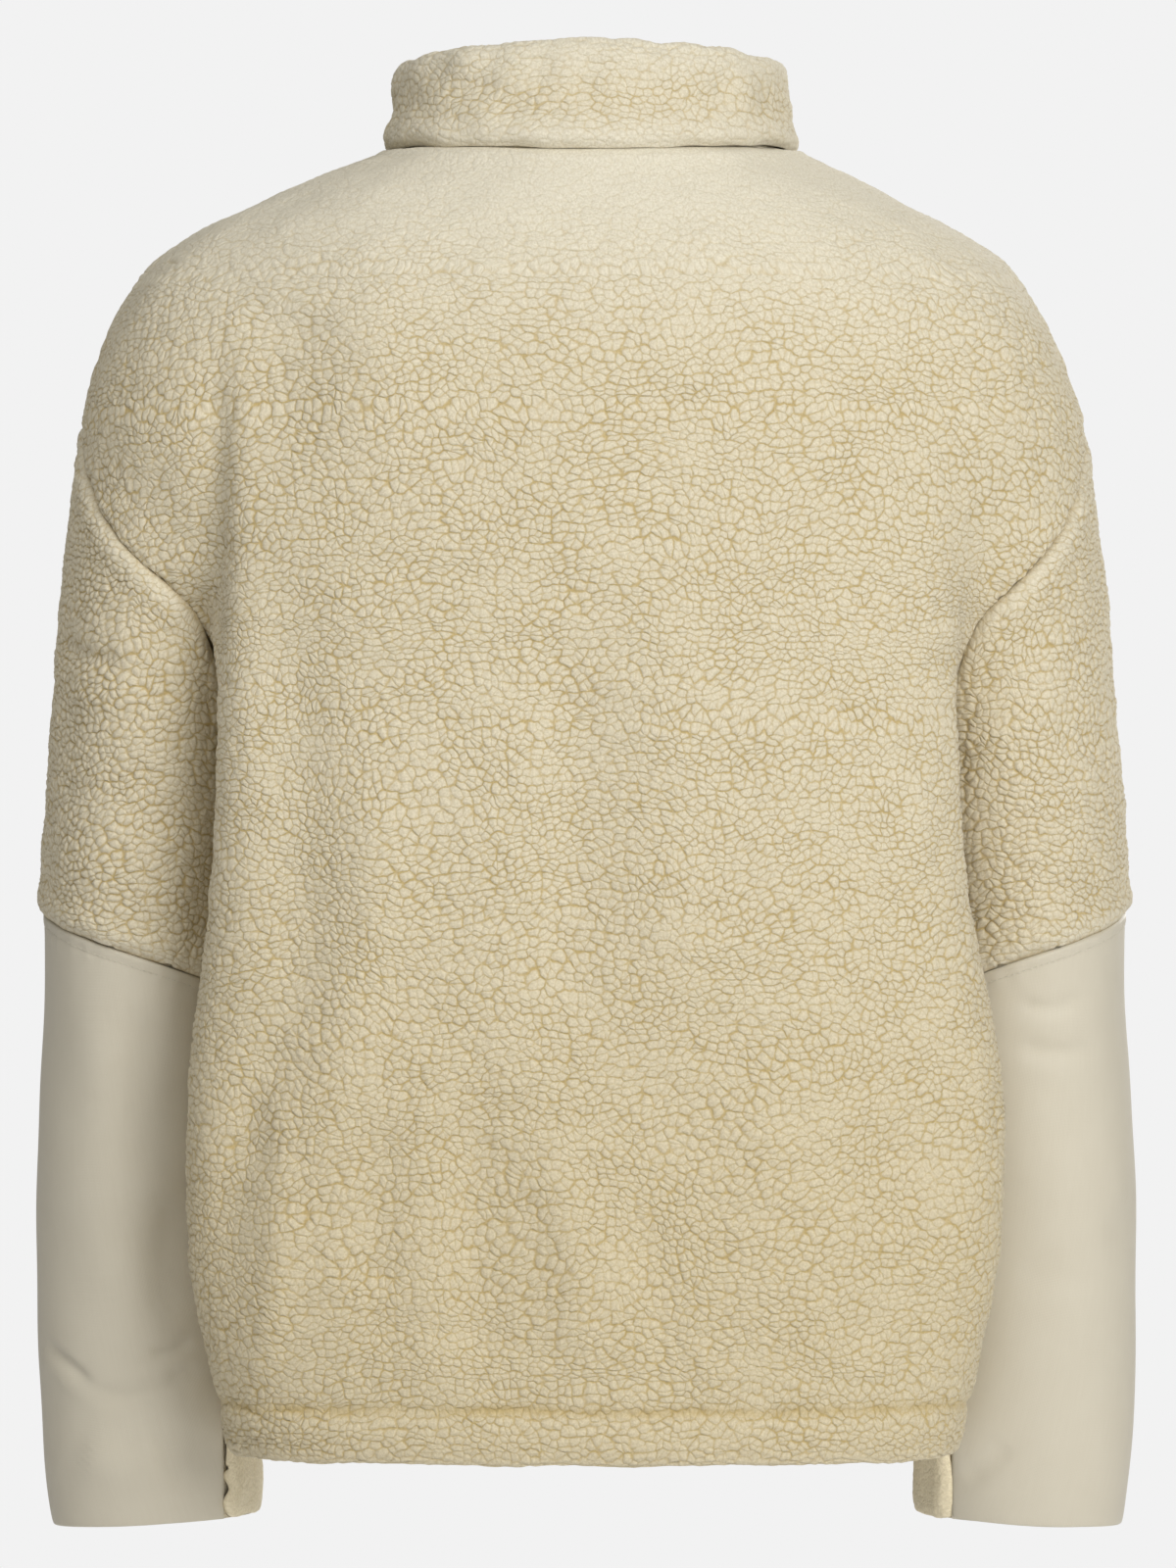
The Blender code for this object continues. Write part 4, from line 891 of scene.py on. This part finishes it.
def fold_lift(node, points, normals):
    """How far the folds and creases of a panel lift its points, in metres."""
    lift = np.zeros(len(points))
    across = points[:, [0, 2]] / MM
    side = np.sign(points[:, 0].mean()) if fold_part(node) != BODY else 0
    t = np.linspace(0, 1, FOLD_STEPS)[:, None]
    rows = ((face, row) for face in (BACK, FRONT) for row in FOLDS[fold_part(node), face])
    for face, row in rows:
        fold = dict(zip(FOLD_COLUMNS, row))
        if side and fold["x2"] * side < 0:
            continue
        first, middle, last = (np.array((fold["x" + n], fold["z" + n])) for n in "123")
        bend = 2 * middle - (first + last) / 2
        line = first * (1 - t) ** 2 + 2 * bend * t * (1 - t) + last * t ** 2
        apart = across[:, None, :] - line[None, :, :]
        away = np.linalg.norm(apart, axis=2)
        nearest = away.argmin(axis=1)
        above = apart[np.arange(len(points)), nearest, 1] > 0
        wide = fold["wide"] * np.where(above, 1 - 0.5 * fold["crisp"], 1)
        near = away.min(axis=1)
        along = t[nearest, 0]
        full = smooth_step(along * 4) * smooth_step((1 - along) * 4) * 0.8 + 0.2
        facing = smooth_step(normals[:, 1] * face * 3)
        trough = -fold["deep"] * np.exp(-((near / wide) ** 2))
        lip = 0.35 * fold["crisp"] * fold["deep"] * np.exp(-(((near - 2 * wide) / wide) ** 2)) * ~above
        lift += (trough + lip) * full * facing * MM
    return lift


def pile_sheet(node, thing, material):
    split_long_edges(thing, FINEST.get(node, FINEST_ELSE))
    sheet = Sheet(thing, fold_part(node) == FOREARM)
    points = sheet.points
    lift, less = seam_lift(sheet, points)
    lift += sum(high * undulation(points, size, seed) for high, size, seed in SWELLS)
    lift += fold_lift(node, points, sheet.normals)
    # painted shade where the cloth sinks into its seams
    seam_shade = 0.5 * bell(sheet.to_seam, 0, 1.8 * MM) * less
    crisp = crispness(node, points)
    if node in ("back_panel", "front_left", "front_right"):
        line = HEM_STITCH + 1.3 * MM * undulation(points, 60 * MM, 5)
        pull = 0.75 + 0.5 * undulation(points, 16 * MM, 6)
        groove = bell(points[:, 2], line, HEM_STITCH_WIDE)
        lift -= HEM_STITCH_SINK * groove * pull
        # painted shade in the hem's stitch groove
        seam_shade = np.maximum(seam_shade, 0.8 * groove * pull)
        crisp *= 0.35 + 0.65 * smooth_step((points[:, 2] - HEM_LOW) / (9 * MM))
    if node == "collar":
        high, size, seed = COLLAR_SWELL
        lift += high * undulation(points * (0.8, 0.8, 1.3), size, seed)
    beside = smooth_step(sheet.to_seam / BRUSHED)
    crisp *= 0.45 + 0.55 * beside
    if node == "collar":
        store(sheet.mesh, "flat", stored(sheet.mesh, "flat") * (1.0, 1.05, 1))
    store(sheet.mesh, "outward", sheet.outward)
    store(sheet.mesh, "crisp", crisp)
    store(sheet.mesh, "seam_shade", seam_shade)
    # painted light on the lower ends of the forearm strips
    store(sheet.mesh, "felt_lit", 0.9 * below(points, CUFF_LIT) * (fold_part(node) == FOREARM))
    # painted shade towards the hem, on the body's panels
    store(sheet.mesh, "below", 0.9 * below(points, HEM_SHADE) * (fold_part(node) == BODY))
    store(sheet.mesh, "high", CURL_HIGH * (0.25 + 0.75 * crisp) * smooth_step(sheet.to_seam / (4 * MM)))
    set_points(sheet.mesh, points + sheet.outward * lift[:, None])
    raise_pile(thing)
    sheet.add_rim(thing, FLEECE * 0.96)
    finish_piece(thing, node + "_pile", material, "fleece", node)


def finish_piece(thing, name, material, slot, *nodes, body="garment"):
    """Name a piece, shade it smooth, give it its material, hide the solids it stands for, and hang it on the
    body it rides on.
    """
    thing.name = name
    thing.data.name = name
    thing.data.materials.clear()
    thing.data.materials.append(material)
    thing.data.shade_smooth()
    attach(thing, body)
    if nodes:
        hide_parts(*nodes)


# ---------------------------------------------------------------- woven forearms

def woven_sheet(node, thing, material):
    split_long_edges(thing, FINEST[node])
    sheet = Sheet(thing, True)
    points = sheet.points
    elbow = sheet.seam[points[sheet.seam, 2] > ELBOW_LOW]
    to_elbow, _ = to_nearest(points, points[elbow])
    lift = fold_lift(node, points, sheet.normals)
    lift += WELT_HIGH * (1 - smooth_step((to_elbow - WELT_WIDE + 0.6 * MM) / (1.2 * MM)))
    angle = np.arctan2(points[:, 1] - ARM_MIDDLE[1], np.abs(points[:, 0]) - ARM_MIDDLE[0])
    ripple = np.sin(angle * ARM_ROUND / PUCKER_LONG * 2 * math.pi + 2 * undulation(points, 40 * MM, 4))
    lift += PUCKER * ripple * bell(to_elbow, WELT_WIDE, 5 * MM)
    lift -= 0.35 * MM * bell(to_elbow, WELT_WIDE, 0.9 * MM)
    lift += 0.5 * MM * undulation(points, 70 * MM, 12)
    others = np.setdiff1d(sheet.seam, elbow)
    to_other, _ = to_nearest(points, points[others])
    lift -= 0.6 * MM * bell(to_other, 0, 2.5 * MM)
    set_points(sheet.mesh, points + sheet.outward * lift[:, None])
    sheet.add_rim(thing, SEAM_TURNED)
    finish_piece(thing, node + "_cloth", material, "woven", node)
    return sheet, elbow


def stitch_row(node, thing, sheet, elbow, material):
    """A row of short stitches along the welt, lying on the cloth."""
    tree = BVHTree.FromObject(thing, bpy.context.evaluated_depsgraph_get())
    points = sheet.points[elbow]
    middle = points.mean(axis=0)
    turn = np.arctan2(points[:, 1] - middle[1], points[:, 0] - middle[0])
    if "right" in node:
        turn = np.mod(turn, 2 * math.pi)
    ring = points[np.argsort(turn)]
    step = np.linalg.norm(np.diff(ring, axis=0), axis=1)
    far = np.concatenate(([0], np.cumsum(step)))
    marks = np.arange(3 * MM, far[-1] - 3 * MM, STITCH_STEP)
    behind, ahead = (np.column_stack([np.interp(marks + half * STITCH_LONG, far, line) for line in ring.T])
                     for half in (-0.5, 0.5))
    bm = bmesh.new()
    for one, two in zip(behind, ahead):
        ends = []
        for end in (one, two):
            _, normal, _, _ = tree.find_nearest(Vector(end) + Vector((0, 0, -2 * MM)))
            along = (Vector(two) - Vector(one)).normalized()
            down = along.cross(normal).normalized()
            down = -down if down.z > 0 else down
            place, normal, _, _ = tree.find_nearest(Vector(end) + down * WELT_WIDE)
            ends.append(place + normal * 0.1 * MM)
        add_stitch(bm, ends[0], ends[1], normal)
    name = node + "_stitches"
    finish_piece(placed(name, into_mesh(bm, bpy.data.meshes.new(name))), name, material, "woven")


def add_stitch(bm, start, end, up):
    """A thread that rises out of the cloth at one end and goes back in at the other."""
    along = (end - start).normalized()
    sideways = along.cross(up).normalized()
    rings = []
    for t, size, lift in STITCH_ARCH:
        middle, radius = start.lerp(end, t) + up * lift * STITCH_THICK, size * STITCH_THICK / 2
        rings.append([bm.verts.new(middle + (sideways * math.cos(a) + up * math.sin(a)) * radius)
                      for a in (math.radians(60 * k) for k in range(6))])
    for low, high in zip(rings, rings[1:]):
        for k in range(6):
            bm.faces.new((low[k], low[(k + 1) % 6], high[(k + 1) % 6], high[k]))


def inner_sheet(node, thing, material, name):
    """The cloth's inner side, which goes in and out with the folds of the outer one."""
    points, outward = points_of(thing.data), -normals_of(thing.data)
    set_points(thing.data, points + outward * fold_lift(node, points, outward)[:, None])
    finish_piece(thing, node + name, material, "woven" if node in WOVEN_NODES else "fleece", node)


# ---------------------------------------------------------------- the zip

class ZipLine:
    """The closed front's middle line at the tops of the pile, with its outward direction, found from the
    left tape's inner edge."""

    def __init__(self):
        points = points_of(frame["nodes"]["zip_tape_left"].data) / MM
        edge = np.unique(points[np.abs(points[:, 0] - TAPE_EDGE) < 0.05].round(2), axis=0)
        edge = edge[np.argsort(edge[:, 2])].reshape(-1, 2, 3)
        rows, front = np.arange(len(edge)), edge[:, :, 1].argmin(axis=1)
        outer, inner = edge[rows, front], edge[rows, 1 - front]
        self.out = (outer - inner) / np.linalg.norm(outer - inner, axis=1)[:, None]
        self.line = outer + self.out * TAPE_DEEP
        self.foot, self.top = self.line[0, 2], self.line[-1, 2]

    def put(self, height, points):
        """Points given as across, outward and up in millimetres, put in the frame at this height."""
        y, out_y, out_z = (np.interp(height, self.line[:, 2], column)
                           for column in (self.line[:, 1], self.out[:, 1], self.out[:, 2]))
        across, outward, up = np.asarray(points, float).T
        y_all = y + outward * out_y + up * out_z
        z_all = height + outward * out_z - up * out_y
        return np.column_stack((across, y_all, z_all)) * MM


def mirrored(half):
    """A whole outline from its half at one side, given from the top down."""
    half = np.array(half, float)
    return np.concatenate((half, (half * (-1, 1))[::-1][1:-1]))


def layered(outline, layers, hole=None):
    """The points and faces of a solid whose outline, across and up, changes size from layer to layer. A hole
    through it gets wider where the outline gets narrower."""
    count, points, faces = len(outline), [], []

    def band(low, high):
        """The faces between two rings, given by their first points."""
        return [(low + i, low + (i + 1) % count, high + (i + 1) % count, high + i) for i in range(count)]

    for rim, power in ((outline, 1),) if hole is None else ((outline, 1), (hole, -1)):
        middle = (rim.max(axis=0) + rim.min(axis=0)) / 2
        for layer, (outward, size) in enumerate(layers):
            ring = middle + (rim - middle) * size ** power
            points.append(np.column_stack((ring[:, 0], np.full(count, outward), ring[:, 1])))
            if layer:
                faces += band((len(points) - 2) * count, (len(points) - 1) * count)
    for start in (0, (len(layers) - 1) * count):
        if hole is None:
            faces.append(tuple(range(start, start + count)))
        else:
            faces += band(start, start + len(layers) * count)
    return np.concatenate(points), faces


def solid_piece(name, parts, material, slot, *nodes, body="garment"):
    """One piece made of several solids, each its points in metres and its faces."""
    points, faces, start = [], [], 0
    for some, its_faces in parts:
        faces += [tuple(start + i for i in face) for face in its_faces]
        points.append(some)
        start += len(some)
    mesh = bpy.data.meshes.new(name)
    mesh.from_pydata(np.concatenate(points).tolist(), [], faces)
    bm = editable(mesh)
    bmesh.ops.recalc_face_normals(bm, faces=bm.faces)
    finish_piece(placed(name, into_mesh(bm, mesh)), name, material, slot, *nodes, body=body)
    mesh.set_sharp_from_angle(angle=math.radians(38))


def zip_tape(name, line, side, material):
    profile = np.array(TAPE_PROFILE)
    profile = np.column_stack((side * profile[:, 0], -profile[:, 1], 0 * profile[:, 0]))
    heights = np.arange(line.foot, line.top, TAPE_STEP)
    count = len(profile)
    points = np.concatenate([line.put(height, profile) for height in heights])
    faces = [(row * count + i, row * count + (i + 1) % count, (row + 1) * count + (i + 1) % count,
              (row + 1) * count + i) for row in range(len(heights) - 1) for i in range(count)]
    faces += [tuple(range(count)), tuple(range(len(points) - count, len(points)))]
    solid_piece(name + "_cloth", [(points, faces)], material, "tape", name)


def zip_teeth(line, material):
    """Two rows of moulded teeth, closed into each other."""
    tooth = np.array(TOOTH)
    outline = np.concatenate((tooth, (tooth * (1, -1))[::-1]))
    points, faces = layered(outline, TOOTH_LAYERS)
    chain = points_of(frame["nodes"]["zip_chain"].data)[:, 2] / MM
    heights = np.arange(chain.min() + TEETH_FOOT, chain.max() - TEETH_TOP, TOOTH_STEP / 2)
    parts = [(line.put(height, points * (1 if index % 2 else -1, 1, 1)), faces)
             for index, height in enumerate(heights)]
    solid_piece("zip_teeth", parts, material, "tape", "zip_chain")


def zip_metal(line, material):
    """The slider at the top with its two lugs, the pull tab that hangs from them, and the box at the foot."""
    hinge = np.array(frame["joints"][0]["pos_m"]) / MM
    height = hinge[2]
    for _ in range(6):  # find the slider's height on the line, which puts its hinge on the frame's
        off = line.put(height, [HINGE_AT])[0] / MM - hinge
        height -= off[2]
    parts = [layered(mirrored(SLIDER), SLIDER_LAYERS)]
    turn = np.linspace(0, 2 * math.pi, 20, endpoint=False)
    disc = np.column_stack((np.cos(turn), np.sin(turn))) * LUG_ROUND
    for side in (-1, 1):
        points, faces = layered(disc, LUG_LAYERS)
        points = points[:, (1, 0, 2)] + (side * LUG_OUT, HINGE_AT[1], HINGE_AT[2])
        parts.append((points, faces))
    parts = [(line.put(height, points), faces) for points, faces in parts]
    solid_piece("zip_slider_body", parts, material, "metal", "zip_slider")
    tab, tab_faces = layered(mirrored(TAB), TAB_LAYERS, mirrored(TAB_HOLE))
    roll, roll_faces = layered(disc * ROLL_SIZE, ROLL_LAYERS)
    parts = [(tab, tab_faces), (roll[:, (1, 0, 2)], roll_faces)]
    parts = [(line.put(height, points + HINGE_AT), faces) for points, faces in parts]
    solid_piece("zip_pull_tab", parts, material, "metal", "zip_pull", body="pull_tab")
    low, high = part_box("zip_box")
    points, faces = layered(mirrored(BOX), BOX_LAYERS)
    solid_piece("zip_foot_box", [(line.put((low[2] + high[2]) / 2 / MM, points), faces)], material, "metal",
                "zip_box")


# ---------------------------------------------------------------- stage

def add_stage():
    """A pale floor below the jacket, out of the camera's sight."""
    bpy.ops.mesh.primitive_plane_add(size=7, location=(0, 0, FLOOR_HIGH))
    floor = bpy.context.object
    floor.name = "floor"
    floor.data.materials.append(new_material("floor", FLOOR_COLOUR, 0.9)[0])
    floor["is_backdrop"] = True


def add_camera():
    lens = bpy.data.cameras.new("camera")
    lens.sensor_fit = "VERTICAL"
    lens.angle = 2 * math.atan(PHOTO_TALL / 2 * METRES_PER_PIXEL / CAMERA_AWAY)
    camera = placed("camera", lens)
    camera.location = (0, PICTURE_PLANE + CAMERA_AWAY, CAMERA_HIGH)
    camera.rotation_euler = (math.pi / 2, 0, math.pi)
    bpy.context.scene.camera = camera


def add_light(name, place, target, size, watts):
    light = bpy.data.lights.new(name, "AREA")
    light.shape = "DISK"
    light.size = size
    light.energy = watts
    lamp = placed(name, light)
    lamp.location = place
    lamp.rotation_euler = (Vector(target) - Vector(place)).to_track_quat("-Z", "Y").to_euler()


def add_world():
    """An even light grey backdrop for the camera, and a weaker light from all round."""
    world = bpy.data.worlds.new("world")
    bpy.context.scene.world = world
    world.use_nodes = True
    tree = world.node_tree
    tree.nodes.clear()
    seen = add(tree, "ShaderNodeBackground", {"Color": BACKDROP, "Strength": 1.0})
    around = add(tree, "ShaderNodeBackground", {"Color": AROUND, "Strength": AROUND_STRENGTH})
    to_camera = add(tree, "ShaderNodeLightPath").outputs["Is Camera Ray"]
    mixed = tree.nodes.new("ShaderNodeMixShader")
    for index, socket in enumerate((to_camera, around.outputs[0], seen.outputs[0])):
        tree.links.new(socket, mixed.inputs[index])
    out = tree.nodes.new("ShaderNodeOutputWorld")
    tree.links.new(mixed.outputs[0], out.inputs[0])


# ---------------------------------------------------------------- the jacket

for thing in list(bpy.data.objects):
    bpy.data.objects.remove(thing)
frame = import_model()

add_stage()
add_camera()
add_world()
for lamp in LIGHTS:
    add_light(*lamp)

pile, ground, woven = pile_material(), ground_material(), woven_material()
thread = plain_material("thread", THREAD, 0.7, 0.4 * MM, 0.05 * MM)

solid_trees = {}
for name in FLEECE_NODES + WOVEN_NODES:
    solid = welded(name)
    solid_trees[name] = BVHTree.FromBMesh(solid)
    solid.free()

for name in FLEECE_NODES:
    outer_sheet, back_sheet = cut_sheets(name)
    pile_sheet(name, outer_sheet, pile)
    if back_sheet:
        inner_sheet(name, back_sheet, ground, "_ground")
for name in WOVEN_NODES:
    outer_sheet, back_sheet = cut_sheets(name)
    cloth, elbow_seam = woven_sheet(name, outer_sheet, woven)
    stitch_row(name, outer_sheet, cloth, elbow_seam, thread)
    inner_sheet(name, back_sheet, woven, "_inside")

zip_line = ZipLine()
tape = tape_material()
for name, side in (("zip_tape_left", 1), ("zip_tape_right", -1)):
    zip_tape(name, zip_line, side, tape)
zip_teeth(zip_line, plain_material("zip_teeth", TEETH, 0.4, 0.6 * MM, 0.05 * MM))
zip_metal(zip_line, plain_material("zip_metal", METAL, 0.42, 0.8 * MM, 0.03 * MM, Metallic=0.9))

bpy.context.scene.view_settings.view_transform = "Standard"
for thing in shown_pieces():
    print("piece", thing.name, sum(len(face.vertices) - 2 for face in thing.data.polygons))
